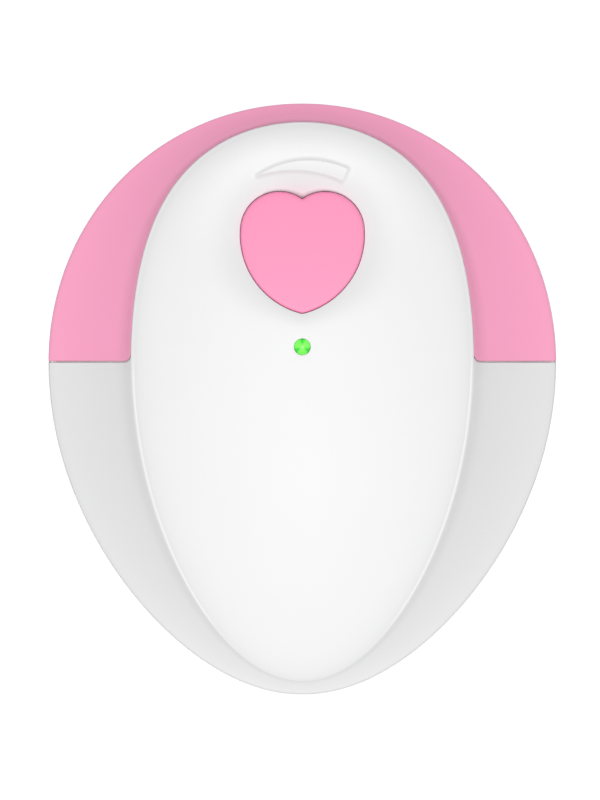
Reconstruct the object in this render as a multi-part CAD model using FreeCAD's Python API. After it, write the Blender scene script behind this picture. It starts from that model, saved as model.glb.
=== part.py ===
"""Pocket fetal doppler monitor, in millimetres.

An egg-shaped handheld case: +Z points out of its front, +Y towards the wide end with the pink
crown, and it rests on z = 0. A raised panel carries the heart key and the status light. The
battery lies across the wide half behind a sliding door, and the ultrasound probe faces out of the
back of the narrow half. The wide end holds two headphone jacks and a volume wheel.
"""
import FreeCAD, Part
import math
import os

V = FreeCAD.Vector
UP = V(0, 0, 1)

# Plan of the case. An egg form is (half width, reach to the head, reach to the tail, fullness of
# the head, fullness of the tail), measured from the seam between the crown and the wings.
OUTLINE = (45.0, 45.8, 58.9, 0.02, -0.14)
PANEL = (30.4, 42.6, 56.5, 0.19, -0.11)
SEAM_Y = (OUTLINE[2] - OUTLINE[1]) / 2      # so that the whole case is centred on y = 0
END_Y = SEAM_Y + OUTLINE[1]
RING_POINTS = 16

# Room that pieces leave each other
OVER = 1.0                  # how far a cutting shape runs past what it cuts
FIT = 0.2                   # round a piece that slots into a housing
SMALL_FIT = 0.1
SCREW_BITE = 0.05           # a pilot hole's radius over its screw's
PILOT_DEPTH = 0.5           # a pilot hole's depth past its screw's tip

# Section of the case
DRAFT = 0.4                 # lean of the side wall
SHOULDER_R = 1.2
BEAD_R = 0.4                # small rounded edge of the raised panel
COVE_POWER = 1.35           # how late the wings sweep up to the panel
COVE_FOOT_SHARE = 0.06      # share of that rise that lies right under the panel
COVE_FOOT_POWER = 14
DOME_EDGE_SHARE = 0.1       # share of the panel's fall that lies near its edge
DOME_EDGE_POWER = 24
DOME_TAIL_EASE = 0.7        # how much of that share the narrow end loses
BELLY_INSET = 11.0          # how far the rear bowl pulls in
WALL = 2.4
FLOOR_SKIN = 2.0            # wall of the rear bowl
LINE_DEPTH = 0.35           # shadow line round the parting plane
LINE_H = 0.4

# Crown trim
CROWN_T = 1.0
CROWN_GAP = 0.1             # under the crown
CROWN_LINE = 0.24           # open line round the crown
CROWN_CORNER_R = 1.2
CROWN_SPARE = 2.0           # height of the cut that clears its room
PEG_R = 0.9
PEG_DEGREES = (12, 38, 142, 168)
PEG_SHARE = 0.45            # place of a peg between the shoulder and the panel
PEG_TOP = 0.4               # below the crown's surface
PEG_FOOT = 3.6

# Lip of the rear housing inside the front one, and the shelf that carries it
LIP_H = 1.4
LIP_T = 0.95
LIP_GAP = 0.35
LIP_DROP = 0.8              # shelf below the parting plane
SHELF_H = 1.6
SHELF_BITE = 0.9            # shelf into the wall of the bowl

# Heart key and its switch
HEART_Y = 29.75             # centre of the two lobes
LOBE_X = 4.05
LOBE_R = 6.85
HEART_SIDE_R = 14.3
HEART_TIP_Y = 15.15
HEART_TIP_R = 1.5
KEY_PROUD = 0.6
KEY_GAP = 0.2
KEY_LIFT_STOP = 0.1         # more than the gap, between the key's flange and the panel's back
KEY_SKIN = 1.4              # thickness of the key's retaining flange
KEY_FLANGE = 1.3            # flange beyond the heart
KEY_DEPTH = 9.0             # tall enough for any of the key's cutting shapes
KEY_TRAVEL = 0.5
DISH_R = 13.0
DISH_DEPTH = 1.0
SWITCH_Y = 26.0
SWITCH_W = 6.0
SWITCH_H = 3.5
PLUNGER_R = 1.75
PLUNGER_RISE = 1.0
PLUNGER_ROOT = 0.6
PLUNGER_ROOM = 0.3          # left under the plunger when the key is down
KEY_STEM_R = 2.6

# Status light
LED_Y = 9.2
LED_R = 1.45
LED_FLANGE_R = LED_R + 0.45
LED_FLANGE_H = 1.0
LED_SUNK = 0.05             # top of its lens below the panel
LED_BODY_H = 5.5
LED_PIN_R = 0.25
LED_PIN_PITCH = 2.54
LED_PIN_TAIL = 0.3          # pins past the back of the board
SPACER_R = 2.4

# Volume wedge moulded into the panel
WEDGE_TIP = (-8.1, 39.3)
WEDGE_TOP = (1.2, 42.8)
WEDGE_END_HIGH = (8.2, 40.6)
WEDGE_END_LOW = (7.2, 38.4)
WEDGE_UNDER = (-0.9, 40.4)
WEDGE_RISE = 0.3

# Battery door and its runners
DOOR_T = 2.0
DOOR_MARGIN = 1.6           # door beyond the bay's opening
DOOR_CORNER_R = 1.0
TONGUE = (1.0, 0.8)         # width and thickness of the door's tongues
TONGUE_DROP = 0.1           # below the door's inner face
TONGUE_SHY = 2.0            # side tongues short of the door's ends
END_TONGUE_SHARE = 0.6      # of the door's width
DOOR_FIT = 0.2
DOOR_LIFT = 0.05            # between the door and its seat
GROOVE_FIT = 0.15           # under a tongue
RUNNER_W = 3.4
PLATEAU_R = 5.0
GRIP_COUNT = 5
GRIP_PITCH = 2.2
GRIP_R = 0.7
GRIP_HALF = 9.0
GRIP_TAPER = 0.9            # each grip shorter than the one before, at either end
GRIP_SETBACK = 4.0
DOOR_TRAVEL = 36.0
BELLY_Z = DOOR_T + 0.5      # flat back of the rear housing, above the door and the probe face

# Battery and its bay
BATTERY = (46.4, 26.5, 17.5)
BATTERY_CENTRE = (-3.4, 14.0)
BATTERY_EDGE_R = 1.6
BATTERY_Z = DOOR_T + 0.3
STUD_H = 2.1
STUD_R = 2.9
SOCKET_STUD_R = 4.0
SOCKET_FLOOR = 0.6
STUD_PITCH = 12.7
BAY_ROOM = 0.4              # round the battery
BAY_SNAP_ROOM = 7.4         # for the snap at its stud end
BAY_WALL = 1.2
BAY_CORNER_R = 2.5
PAD_T = 0.5
PAD_MARGIN = 3.0
SNAP = (5.4, 25.0, 11.0)
CONTACT_T = 0.8
LEAD_R = 0.6
LEAD_PITCH = 2.8
LEAD_SETBACK = 1.4          # from the snap's back
LEAD_SPREAD = (0.6, 0.5)    # sideways and outwards on its way up
LEAD_RISE = 2.4
LEAD_SLOT = 3.6             # slot in the bay's roof, which both leads pass

# Heights of the case, stacked up from the battery through the board to the panel
BATTERY_TOP = BATTERY_Z + BATTERY[2]
BAY_TOP = BATTERY_TOP + PAD_T
BOARD_GAP = 0.5             # between the bay's roof and the board
BOARD_T = 1.6
BOARD_Z = BAY_TOP + BAY_WALL + BOARD_GAP
BOARD_TOP = BOARD_Z + BOARD_T
PANEL_ROOM = 12.0           # from the board to the top of the panel, for the switch and the key
PANEL_RISE = 3.4            # from the panel's foot at its sides to its top
SWEEP_RISE = 9.6            # from the rounded outer edge up to the panel's foot
CASE_HEIGHT = BOARD_TOP + PANEL_ROOM    # the heart key stands a little higher
RIM_Z = CASE_HEIGHT - PANEL_RISE
SHOULDER_Z = RIM_Z - SWEEP_RISE
PARTING_Z = 13.0            # where the front and rear housings meet
SHOULDER_RISE_HEAD = 5.0    # how much higher the outer edge is at the head, over the jacks
SHOULDER_RISE_TAIL = 6.0
RIM_FALL_HEAD = 0.2
RIM_FALL_TAIL = 2.6
RIM_TAIL_POWER = 2.2
FACE_TOP = CASE_HEIGHT + 5  # above everything

# Main board
BOARD_INSET = 3.3           # from the raised panel's outline
BOARD_TAIL_Y = -8.0
BOARD_POST_PLACES = ((8.2, -15), (8.2, 195), (6.4, 71), (6.4, 109))  # inset and ring degrees
POST_R = 2.2
BOARD_SCREW_R = 0.9
BOARD_SCREW_HEAD_R = 1.8
BOARD_SCREW_HEAD_H = 0.9
BOARD_SCREW_L = 6.0
BOARD_HOLE_ROOM = 0.15

# Pieces on the board: centre, size along x and y, height, and legs on each side
SIGNAL_CHIP = (8.0, 16.0, 8.9, 6.0, 2.0, 7)
AUDIO_CHIP = (-8.0, 9.0, 4.9, 3.9, 1.6, 4)
CHIP_LIFT = 0.1
LEG_PITCH = 1.27
LEG = (0.42, 1.1, 0.3)
CAPACITORS = ((17.0, 13.0, 2.5, 5.4), (17.0, 20.0, 2.5, 5.4), (-17.0, 27.0, 2.0, 4.6))
CAPACITOR_EDGE = 0.3
CLOCK_CAN = ((-21.5, -10.5), (16.5, 20.5), 3.4)
CLOCK_CAN_R = 1.9
COIL_PLACES = ((-8.0, -3.5), (8.0, -3.5))
COIL_CAN = (7.0, 5.0)       # side and height
COIL_CORE = (1.4, 1.0)      # radius and depth of the tuning screw's well

# Case screws
SCREW_INSET = 8.2           # from the case's outline
SCREW_DEGREES = (7, 173, -57, -123)
SCREW_R = 1.1
SCREW_HEAD_R = 2.1
SCREW_HEAD_H = 1.6
SCREW_HEAD_ROOM = 0.4
SCREW_HOLE_ROOM = 0.2
SCREW_SEAT_Z = 8.0
SCREW_L = 8.5
PILLAR_R = 3.3
BOSS_R = 2.8
SCREW_CROSS = (2.2, 0.5, 0.6)       # length, width and depth of a cross recess
SMALL_CROSS = (2.0, 0.45, 0.5)

# Ultrasound probe
PROBE_Y = -24.5
WINDOW_R = 16.0
WINDOW_T = 1.4
WINDOW_EDGE = 0.35
WINDOW_FIT = 0.15
WINDOW_PROUD = 0.5          # past the ring that holds it
RING_W = 2.0
RING_H = 3.5                # inside the floor of the bowl
GASKET_T = 0.5
GASKET_W = 1.4
CARRIER_R = WINDOW_R - GASKET_W - 0.4
CARRIER_WALL = 1.0
CARRIER_H = 5.6
CRYSTAL_R = CARRIER_R - CARRIER_WALL - 0.8
CRYSTAL_T = 1.0
DIVIDER_T = 1.4
DIVIDER_FIT = 0.02
PROBE_LEAD_R = 0.65
PROBE_LEAD_X = (6.0, 5.0)   # where a lead leaves the probe and where it enters the board
PROBE_LEAD_Y = (2.0, 3.0)   # from the probe's centre, and from the board's tail
PROBE_LEAD_ROOM = 0.4

# Headphone jacks
JACK_TAU = math.radians(62.0)
JACK_BORE_R = 1.8
JACK_NOSE_R = JACK_BORE_R + 1.0
JACK_SETBACK = 6.8          # from the mouth to the front of the jack's body
JACK_SEAT = 1.0             # length of the bushing held in the body
JACK_BODY = (9.6, 9.3, 5.5)
JACK_BACK_WALL = 1.0
JACK_INNER_R = JACK_BORE_R + 0.2
JACK_PIN = (0.5, 1.4, 3.4)
JACK_PIN_SHARE = 0.6        # of the body's length, from its front
JACK_HOLE = (-12.0, 8.0)    # stretch of the hole through the walls, from the mouth
TANGENT_STEP = 0.01

# Volume wheel
WHEEL_R = 8.7
WHEEL_SHY = 0.45            # of the end of the case
WHEEL_Y = END_Y - WHEEL_SHY - WHEEL_R
WHEEL_T = 2.6
WHEEL_GAP = 0.4             # under the body that it turns
WHEEL_RIBS = 40
WHEEL_RIB_DEPTH = 0.35
WHEEL_GROOVE_SHARE = 0.3    # half a groove's width, of the ribs' pitch
WHEEL_RIM_W = 2.0
WHEEL_HUB_W = 1.6
WHEEL_RECESS = 0.8
SPINDLE_R = 1.5
SPINDLE_FIT = 0.06
SPINDLE_BITE = 1.6          # into the body that it turns
POT = (9.5, 9.5, 2.6)
WHEEL_SCREW_R = 0.8
WHEEL_SCREW_HEAD = (1.9, 0.9)
WHEEL_SCREW_SHY = 0.3
SLOT_ROOM = 0.4
SCALLOP_DEPTH = 1.6
SCALLOP_R = 5.0
SCALLOP_SWEEP_R = 26.0
SCALLOP_HALF = 9.5
THICK_PATCH = (21.0, 8.6, 3.2)  # width, height and depth of the crown behind the scallop


# Basic shapes

def box(x, y, z):
    """A box from its low and high coordinates along each axis."""
    return Part.makeBox(x[1] - x[0], y[1] - y[0], z[1] - z[0], V(x[0], y[0], z[0]))


def rod(x, y, radius, z_low, z_high):
    return Part.makeCylinder(radius, z_high - z_low, V(x, y, z_low))


def tube(x, y, outer, inner, z_low, z_high):
    return rod(x, y, outer, z_low, z_high).cut(rod(x, y, inner, z_low, z_high))


def centred_box(x, y, size_x, size_y, z):
    return box((x - size_x / 2, x + size_x / 2), (y - size_y / 2, y + size_y / 2), z)


def rounded_block(x, y, z, radius):
    """A box with its four upright edges rounded."""
    block = box(x, y, z)
    upright = [e for e in block.Edges if abs(e.tangentAt(e.FirstParameter).z) > 0.9]
    return block.makeFillet(radius, upright)


def joined(shapes):
    first, *others = shapes
    return first.multiFuse(others).removeSplitter() if others else first


# The egg form and the skins drawn over its rings

def egg_point(form, inset, tau, scale=1.0):
    """A point of an egg outline, pulled in by inset and then scaled about the seam's centre."""
    half_width, head, tail, head_full, tail_full = form
    head, tail = head - inset, tail - inset
    middle, shift = (head + tail) / 2, (tail - head) / 2
    s = math.sin(tau)
    y = middle * s - shift * s * s
    reach, full = (head, head_full) if y >= 0 else (tail, tail_full)
    v = y / reach
    x = (half_width - inset) * math.sqrt(max(0.0, 1 - v * v)) * (1 + full * v * v)
    return V(scale * math.copysign(x, math.cos(tau)), SEAM_Y + scale * y, 0)


def ring_angles():
    return [2 * math.pi * i / RING_POINTS for i in range(RING_POINTS)]


def egg_ring(form, inset, z, scale=1.0):
    """The outline's points at height z, where z is a number or a function of the ring angle."""
    points = []
    for tau in ring_angles():
        height = z(tau) if callable(z) else z
        points.append(egg_point(form, inset, tau, scale) + UP * height)
    return points


def ring_curve(points):
    curve = Part.BSplineCurve()
    curve.interpolate(Points=points, PeriodicFlag=True,
                      Parameters=[float(i) for i in range(len(points) + 1)])
    return curve


def skin(rings):
    """One closed band of surface through a stack of rings: straight between two, else smooth."""
    curves = [ring_curve(ring) for ring in rings]
    spacing = [0.0]
    for low, high in zip(rings, rings[1:]):
        step = sum((a - b).Length for a, b in zip(low, high)) / len(low)
        spacing.append(spacing[-1] + step)
    poles = []
    for column in zip(*[curve.getPoles() for curve in curves]):
        across = Part.BSplineCurve()
        across.interpolate(Points=list(column), Parameters=spacing)
        poles.append(across.getPoles())
    around = curves[0]
    surface = Part.BSplineSurface()
    surface.buildFromPolesMultsKnots(
        poles, around.getMultiplicities(), across.getMultiplicities(),
        around.getKnots(), across.getKnots(), True, False, 3, across.Degree)
    return surface.toShape()


def skinned_solid(bands):
    """A solid of several bands, each starting on the last ring of the one before."""
    faces = [skin(rings) for rings in bands]
    faces.append(Part.Face(Part.Wire(ring_curve(bands[0][0]).toShape())))
    faces.append(Part.Face(Part.Wire(ring_curve(bands[-1][-1]).toShape())))
    shell = Part.Compound(faces)
    shell.sewShape()
    solid = Part.Solid(shell.Shells[0] if shell.Shells else shell)
    if solid.Volume < 0:
        solid.reverse()
    return solid


def straight_bands(bands):
    """The same rings with a straight band between each two, as on walls that nobody sees."""
    return [[low, high] for rings in bands for low, high in zip(rings, rings[1:])]


def egg_prism(form, inset, z_low, z_high):
    return skinned_solid([[egg_ring(form, inset, z_low), egg_ring(form, inset, z_high)]])


def egg_frame(outer_inset, inner_inset, z_low, z_high):
    """A wall that follows the case's outline between two insets."""
    outer = egg_prism(OUTLINE, outer_inset, z_low, z_high)
    return outer.cut(egg_prism(OUTLINE, inner_inset, z_low - OVER, z_high + OVER))


# Surfaces of the case

def rim_height(tau):
    """Height of the raised panel's foot, which falls towards the narrow end."""
    s = math.sin(tau)
    fall = RIM_FALL_HEAD * s * s if s > 0 else RIM_FALL_TAIL * abs(s) ** RIM_TAIL_POWER
    return RIM_Z - fall


def shoulder_height(tau):
    """Height of the top of the rounded outer edge, which climbs towards both ends."""
    s = math.sin(tau)
    rise = SHOULDER_RISE_HEAD * s * s if s > 0 else SHOULDER_RISE_TAIL * abs(s) ** RIM_TAIL_POWER
    return SHOULDER_Z + rise


def side_ring(inset, share, degrees):
    """A ring at a share of the way up the side wall, or at its top and round its edge."""
    turn = math.radians(degrees)

    def height(tau):
        wall_top = shoulder_height(tau) - SHOULDER_R - inset
        return PARTING_Z + (wall_top - PARTING_Z) * share + SHOULDER_R * math.sin(turn)

    return egg_ring(OUTLINE, inset + DRAFT * share + SHOULDER_R * (1 - math.cos(turn)), height)


def band_point(tau, share, inset=0.0):
    """A point on the sweep between the shoulder, share 0, and the panel's foot, share 1."""
    low = egg_point(OUTLINE, DRAFT + SHOULDER_R + inset, tau)
    high = egg_point(PANEL, inset, tau)
    foot = shoulder_height(tau)
    sweep = (1 - COVE_FOOT_SHARE) * share ** COVE_POWER + COVE_FOOT_SHARE * share ** COVE_FOOT_POWER
    rise = (rim_height(tau) - foot) * sweep
    return low + (high - low) * share + UP * (foot + rise - inset)


def cove_ring(inset, share):
    return [band_point(tau, share, inset) for tau in ring_angles()]


def bead_ring(inset, degrees):
    """A ring round the small rounded edge at the raised panel's foot."""
    turn = math.radians(degrees)
    rise = BEAD_R * math.sin(turn) - inset
    return egg_ring(PANEL, inset + BEAD_R * (1 - math.cos(turn)),
                    lambda tau: rim_height(tau) + rise)


def dome_ring(inset, scale):
    """The raised panel's surface at a share of the way from its centre to its edge."""
    def height(tau):
        s = min(0.0, math.sin(tau))
        edge_share = DOME_EDGE_SHARE * (1 - DOME_TAIL_EASE * s * s)
        fall = (1 - edge_share) * scale ** 2 + edge_share * scale ** DOME_EDGE_POWER
        return CASE_HEIGHT - inset - (CASE_HEIGHT - rim_height(tau) - BEAD_R) * fall

    return egg_ring(PANEL, inset + BEAD_R, height, scale)


def case_form(inset, hidden=False):
    """The front of the case as a full solid, with its outside pulled in by inset.

    A hidden form has fewer rings and straight bands between them.
    """
    turns, shares = (0, 30, 60, 90), (0, 0.25, 0.5, 0.75, 0.9, 1)
    scales, top_scale = (1, 0.985, 0.965, 0.93, 0.87, 0.75, 0.55, 0.3), 0.1
    if hidden:
        turns, shares = (0, 90), (0, 0.25, 0.5, 0.75, 1)
        scales, top_scale = (1, 0.96, 0.85, 0.6), 0.25
    wall = [side_ring(inset, 0, 0), side_ring(inset, 1, 0)]
    shoulder = [side_ring(inset, 1, degrees) for degrees in turns]
    cove = [cove_ring(inset, share) for share in shares]
    bead = [bead_ring(inset, degrees) for degrees in turns]
    dome = [dome_ring(inset, scale) for scale in scales]
    dome.append(egg_ring(PANEL, inset + BEAD_R, CASE_HEIGHT - inset, top_scale))
    bands = [shoulder, cove, bead, dome]
    return skinned_solid([wall] + (straight_bands(bands) if hidden else bands))


def bowl_form(inset, hidden=False):
    """The back of the case as a full solid: a quarter ellipse from the parting plane down."""
    steps = 4 if hidden else 6
    rings = []
    for step in range(steps + 1):
        turn = math.pi / 2 * step / steps
        pull = inset + BELLY_INSET * (1 - math.cos(turn))
        z = PARTING_Z - (PARTING_Z - BELLY_Z - inset) * math.sin(turn)
        rings.append(egg_ring(OUTLINE, pull, z))
    return skinned_solid(straight_bands([rings]) if hidden else [rings])


def crown_zone(panel_margin, seam_margin):
    """The plan of the crown as a tall prism: the wide end less the raised panel."""
    half_width, head = OUTLINE[0] + 5, END_Y + 5
    zone = box((-half_width, half_width), (SEAM_Y + seam_margin, head), (0, FACE_TOP))
    panel = Part.Face(Part.Wire(ring_curve(egg_ring(PANEL, -panel_margin, -OVER)).toShape()))
    zone = zone.cut(panel.extrude(UP * (FACE_TOP + 2 * OVER)))
    corners = []
    for edge in zone.Edges:
        low, high = edge.BoundBox, zone.BoundBox
        upright = low.ZLength > 1 and low.XLength < 0.01 and low.YLength < 0.01
        inner = abs(low.XMin) < half_width - 1 and low.YMin < high.YMin + 0.01
        if upright and inner:
            corners.append(edge)
    return zone.makeFillet(CROWN_CORNER_R, corners)


def panel_height(y):
    """Height of the panel's surface on its centre line, on the head side of the seam."""
    scale = (y - SEAM_Y) / (PANEL[1] - BEAD_R)
    fall = (1 - DOME_EDGE_SHARE) * scale ** 2 + DOME_EDGE_SHARE * scale ** DOME_EDGE_POWER
    return CASE_HEIGHT - (CASE_HEIGHT - rim_height(math.pi / 2) - BEAD_R) * fall


# Heart outline

def heart_face(offset):
    """The heart as arcs that meet in tangents: two lobes, two sides and a rounded tip."""
    lobe_r, side_r, tip_r = LOBE_R + offset, HEART_SIDE_R + offset, HEART_TIP_R + offset
    lobe = V(LOBE_X, HEART_Y, 0)
    tip = V(0, HEART_TIP_Y + HEART_TIP_R, 0)
    between = lobe - tip
    to_tip, to_lobe = HEART_SIDE_R - HEART_TIP_R, HEART_SIDE_R - LOBE_R
    along = (to_tip ** 2 - to_lobe ** 2 + between.Length ** 2) / (2 * between.Length)
    across = math.sqrt(to_tip ** 2 - along ** 2)
    unit = between.normalize()
    side = tip + unit * along + V(-unit.y, unit.x, 0) * across

    def on(centre, towards, radius):
        return centre + (towards - centre).normalize() * radius

    def mirrored(point):
        return V(-point.x, point.y, 0)

    notch = V(0, HEART_Y + math.sqrt(lobe_r ** 2 - LOBE_X ** 2), 0)
    lobe_top = on(lobe, lobe + V(1, 2, 0), lobe_r)
    lobe_foot = on(side, lobe, side_r)
    tip_end = on(side, tip, side_r)
    side_middle = on(side, (lobe_foot + tip_end) * 0.5, side_r)
    right = [(notch, lobe_top, lobe_foot), (lobe_foot, side_middle, tip_end)]
    bottom = V(0, tip.y - tip_r, 0)
    arcs = right + [(tip_end, bottom, mirrored(tip_end))]
    arcs += [(mirrored(c), mirrored(b), mirrored(a)) for a, b, c in reversed(right)]
    return Part.Face(Part.Wire([Part.Arc(*arc).toShape() for arc in arcs]))


def heart_prism(offset, z_low, z_high):
    face = heart_face(offset)
    face.translate(UP * z_low)
    return face.extrude(UP * (z_high - z_low))


# Places worked out from the sizes

LED_TOP_Z = panel_height(LED_Y) - LED_SUNK
LED_SEAT_Z = LED_TOP_Z - LED_BODY_H
BATTERY_X = (BATTERY_CENTRE[0] - BATTERY[0] / 2, BATTERY_CENTRE[0] + BATTERY[0] / 2)
BATTERY_YS = (BATTERY_CENTRE[1] - BATTERY[1] / 2, BATTERY_CENTRE[1] + BATTERY[1] / 2)
BATTERY_MID_Z = BATTERY_Z + BATTERY[2] / 2
BAY_X = (BATTERY_X[0] - BAY_ROOM, BATTERY_X[1] + BAY_SNAP_ROOM)
BAY_Y = (BATTERY_YS[0] - BAY_ROOM, BATTERY_YS[1] + BAY_ROOM)
DOOR_HALF = max(-BAY_X[0], BAY_X[1]) + DOOR_MARGIN
DOOR_Y = (BAY_Y[0] - DOOR_MARGIN, BAY_Y[1] + DOOR_MARGIN)
END_TONGUE_HALF = DOOR_HALF * END_TONGUE_SHARE
PLATEAU_Y = (DOOR_Y[0] - DOOR_FIT - RUNNER_W, DOOR_Y[1] + DOOR_FIT)
SNAP_X = (BATTERY_X[1], BATTERY_X[1] + SNAP[0])
STUD_YS = (BATTERY_CENTRE[1] - STUD_PITCH / 2, BATTERY_CENTRE[1] + STUD_PITCH / 2)
FLOOR_TOP = BELLY_Z + FLOOR_SKIN
LEDGE_Z = WINDOW_T + GASKET_T
CARRIER_TOP = WINDOW_T + CARRIER_H
CARRIER_CEILING = CARRIER_TOP - CARRIER_WALL
CRYSTAL_TOP = WINDOW_T + CRYSTAL_T
JACK_Z = BOARD_Z - JACK_BODY[2] / 2
POT_Z = BOARD_Z - POT[2]
WHEEL_TOP = POT_Z - WHEEL_GAP
WHEEL_Z = WHEEL_TOP - WHEEL_T
WHEEL_MID_Z = WHEEL_Z + WHEEL_T / 2
SCREW_PLACES = [egg_point(OUTLINE, SCREW_INSET, math.radians(degrees)) for degrees in SCREW_DEGREES]
BOARD_POSTS = [egg_point(PANEL, inset, math.radians(degrees))
               for inset, degrees in BOARD_POST_PLACES]
LED_PIN_XS = (-LED_PIN_PITCH / 2, LED_PIN_PITCH / 2)


def jack_placement(side):
    """A jack's own frame: its mouth at the origin and +Y out of the case, square to the wall."""
    mouth = egg_point(OUTLINE, DRAFT, JACK_TAU)
    tangent = egg_point(OUTLINE, DRAFT, JACK_TAU - TANGENT_STEP) - mouth
    turn = math.degrees(math.atan2(-tangent.y, tangent.x))
    return FreeCAD.Placement(V(side * mouth.x, mouth.y, JACK_Z),
                             FreeCAD.Rotation(UP, -side * turn))


def at_jack(side, shape):
    shape.Placement = jack_placement(side).multiply(shape.Placement)
    return shape


def jack_rod(side, radius, y_low, y_high):
    return at_jack(side, Part.makeCylinder(radius, y_high - y_low, V(0, y_low, 0), V(0, 1, 0)))


def jack_holes():
    return [jack_rod(side, JACK_NOSE_R + FIT, *JACK_HOLE) for side in (1, -1)]


# Case and trim

def scallop():
    """The thumb scallop over the volume wheel: an arc turned about a line across the end."""
    axis_y = END_Y - SCALLOP_DEPTH + SCALLOP_R
    sag = SCALLOP_SWEEP_R - math.sqrt(SCALLOP_SWEEP_R ** 2 - SCALLOP_HALF ** 2)
    left = V(-SCALLOP_HALF, axis_y - SCALLOP_R + sag, WHEEL_MID_Z)
    middle = V(0, axis_y - SCALLOP_R, WHEEL_MID_Z)
    right = V(SCALLOP_HALF, left.y, WHEEL_MID_Z)
    ends = [V(SCALLOP_HALF, axis_y, WHEEL_MID_Z), V(-SCALLOP_HALF, axis_y, WHEEL_MID_Z)]
    edges = [Part.Arc(left, middle, right).toShape()]
    edges.append(Part.LineSegment(right, ends[0]).toShape())
    edges.append(Part.LineSegment(ends[0], ends[1]).toShape())
    edges.append(Part.LineSegment(ends[1], left).toShape())
    return Part.Face(Part.Wire(edges)).revolve(ends[1], V(1, 0, 0), 360)


def wheel_slot():
    return rod(0, WHEEL_Y, WHEEL_R + SLOT_ROOM, WHEEL_Z - SLOT_ROOM, WHEEL_TOP + SLOT_ROOM)


def crown_pegs(radius, room=0.0):
    """Upright pegs under the crown that seat it in the land of the front housing."""
    pegs = []
    for degrees in PEG_DEGREES:
        spot = band_point(math.radians(degrees), PEG_SHARE)
        pegs.append(rod(spot.x, spot.y, radius, spot.z - PEG_FOOT - room, spot.z + OVER))
    return pegs


def thick_patch(margin):
    """The crown's thicker stretch behind the scallop, and with a margin the window for it."""
    width, height, depth = THICK_PATCH
    return box((-width / 2 - margin, width / 2 + margin), (END_Y - depth - margin, END_Y + 5),
               (WHEEL_MID_Z - height / 2 - margin, WHEEL_MID_Z + height / 2 + margin))


def crown_trim(outside):
    shell = outside.cut(case_form(CROWN_T, hidden=True))
    shell = shell.common(crown_zone(CROWN_LINE, CROWN_LINE / 2))
    patch = outside.common(thick_patch(0))
    below = case_form(PEG_TOP, hidden=True)
    crown = joined([shell, patch] + [peg.common(below) for peg in crown_pegs(PEG_R)])
    return crown.cut([scallop(), wheel_slot()] + jack_holes())


def crown_room():
    """What the front housing gives up for the crown to lie in."""
    room = case_form(-CROWN_SPARE, hidden=True).cut(case_form(CROWN_T + CROWN_GAP, hidden=True))
    return room.common(crown_zone(0, -CROWN_LINE / 2))


def key_dish():
    """The shallow thumb dish round the heart, as a ball that the domed panel is cut with."""
    scale = (SWITCH_Y - SEAM_Y) / (PANEL[1] - BEAD_R)
    power = DOME_EDGE_POWER
    bend = 2 * (1 - DOME_EDGE_SHARE)
    bend += power * (power - 1) * DOME_EDGE_SHARE * scale ** (power - 2)
    bend *= (CASE_HEIGHT - rim_height(math.pi / 2) - BEAD_R) / (PANEL[1] - BEAD_R) ** 2
    radius = 1 / (2 * DISH_DEPTH / DISH_R ** 2 - bend)
    spot = V(0, SWITCH_Y, panel_height(SWITCH_Y))
    slope = V(0, SWITCH_Y + OVER, panel_height(SWITCH_Y + OVER)) - spot
    normal = V(0, -slope.z, slope.y).normalize()
    return Part.makeSphere(radius, spot + normal * (radius - DISH_DEPTH))


def volume_wedge():
    """A thin-to-thick wedge standing a little out of the panel."""
    places = (WEDGE_TIP, WEDGE_TOP, WEDGE_END_HIGH, WEDGE_END_LOW, WEDGE_UNDER)
    tip, top, high, low, under = [V(x, y, RIM_Z) for x, y in places]
    outline = Part.Wire([Part.Arc(tip, top, high).toShape(), Part.LineSegment(high, low).toShape(),
                         Part.Arc(low, under, tip).toShape()])
    wedge = Part.Face(outline).extrude(UP * (FACE_TOP - RIM_Z))
    return wedge.common(case_form(-WEDGE_RISE)).cut(case_form(WALL / 2, hidden=True))


def upper_housing(outside):
    shell = outside.cut([crown_room(), case_form(WALL, hidden=True)])

    bosses = [rod(spot.x, spot.y, BOSS_R, PARTING_Z, FACE_TOP) for spot in SCREW_PLACES]
    posts = [rod(spot.x, spot.y, POST_R, BOARD_TOP, FACE_TOP) for spot in BOARD_POSTS]
    within = case_form(WALL / 2, hidden=True)
    shell = joined([shell] + [post.common(within) for post in bosses + posts])

    cuts = [rod(spot.x, spot.y, SCREW_R + SCREW_BITE, PARTING_Z - OVER,
                SCREW_SEAT_Z + SCREW_L + PILOT_DEPTH) for spot in SCREW_PLACES]
    cuts += [rod(spot.x, spot.y, BOARD_SCREW_R + SCREW_BITE, BOARD_TOP - OVER,
                 BOARD_Z + BOARD_SCREW_L + PILOT_DEPTH) for spot in BOARD_POSTS]
    cuts += crown_pegs(PEG_R + SMALL_FIT, SMALL_FIT)
    cuts += jack_holes()
    cuts += [thick_patch(FIT), wheel_slot(), key_dish()]
    cuts += [heart_prism(KEY_GAP, BOARD_TOP, FACE_TOP)]
    cuts += [rod(0, LED_Y, LED_R + SMALL_FIT, BOARD_TOP, FACE_TOP)]
    for cut in cuts:
        shell = shell.cut(cut)
    return joined([shell, volume_wedge()])


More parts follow.
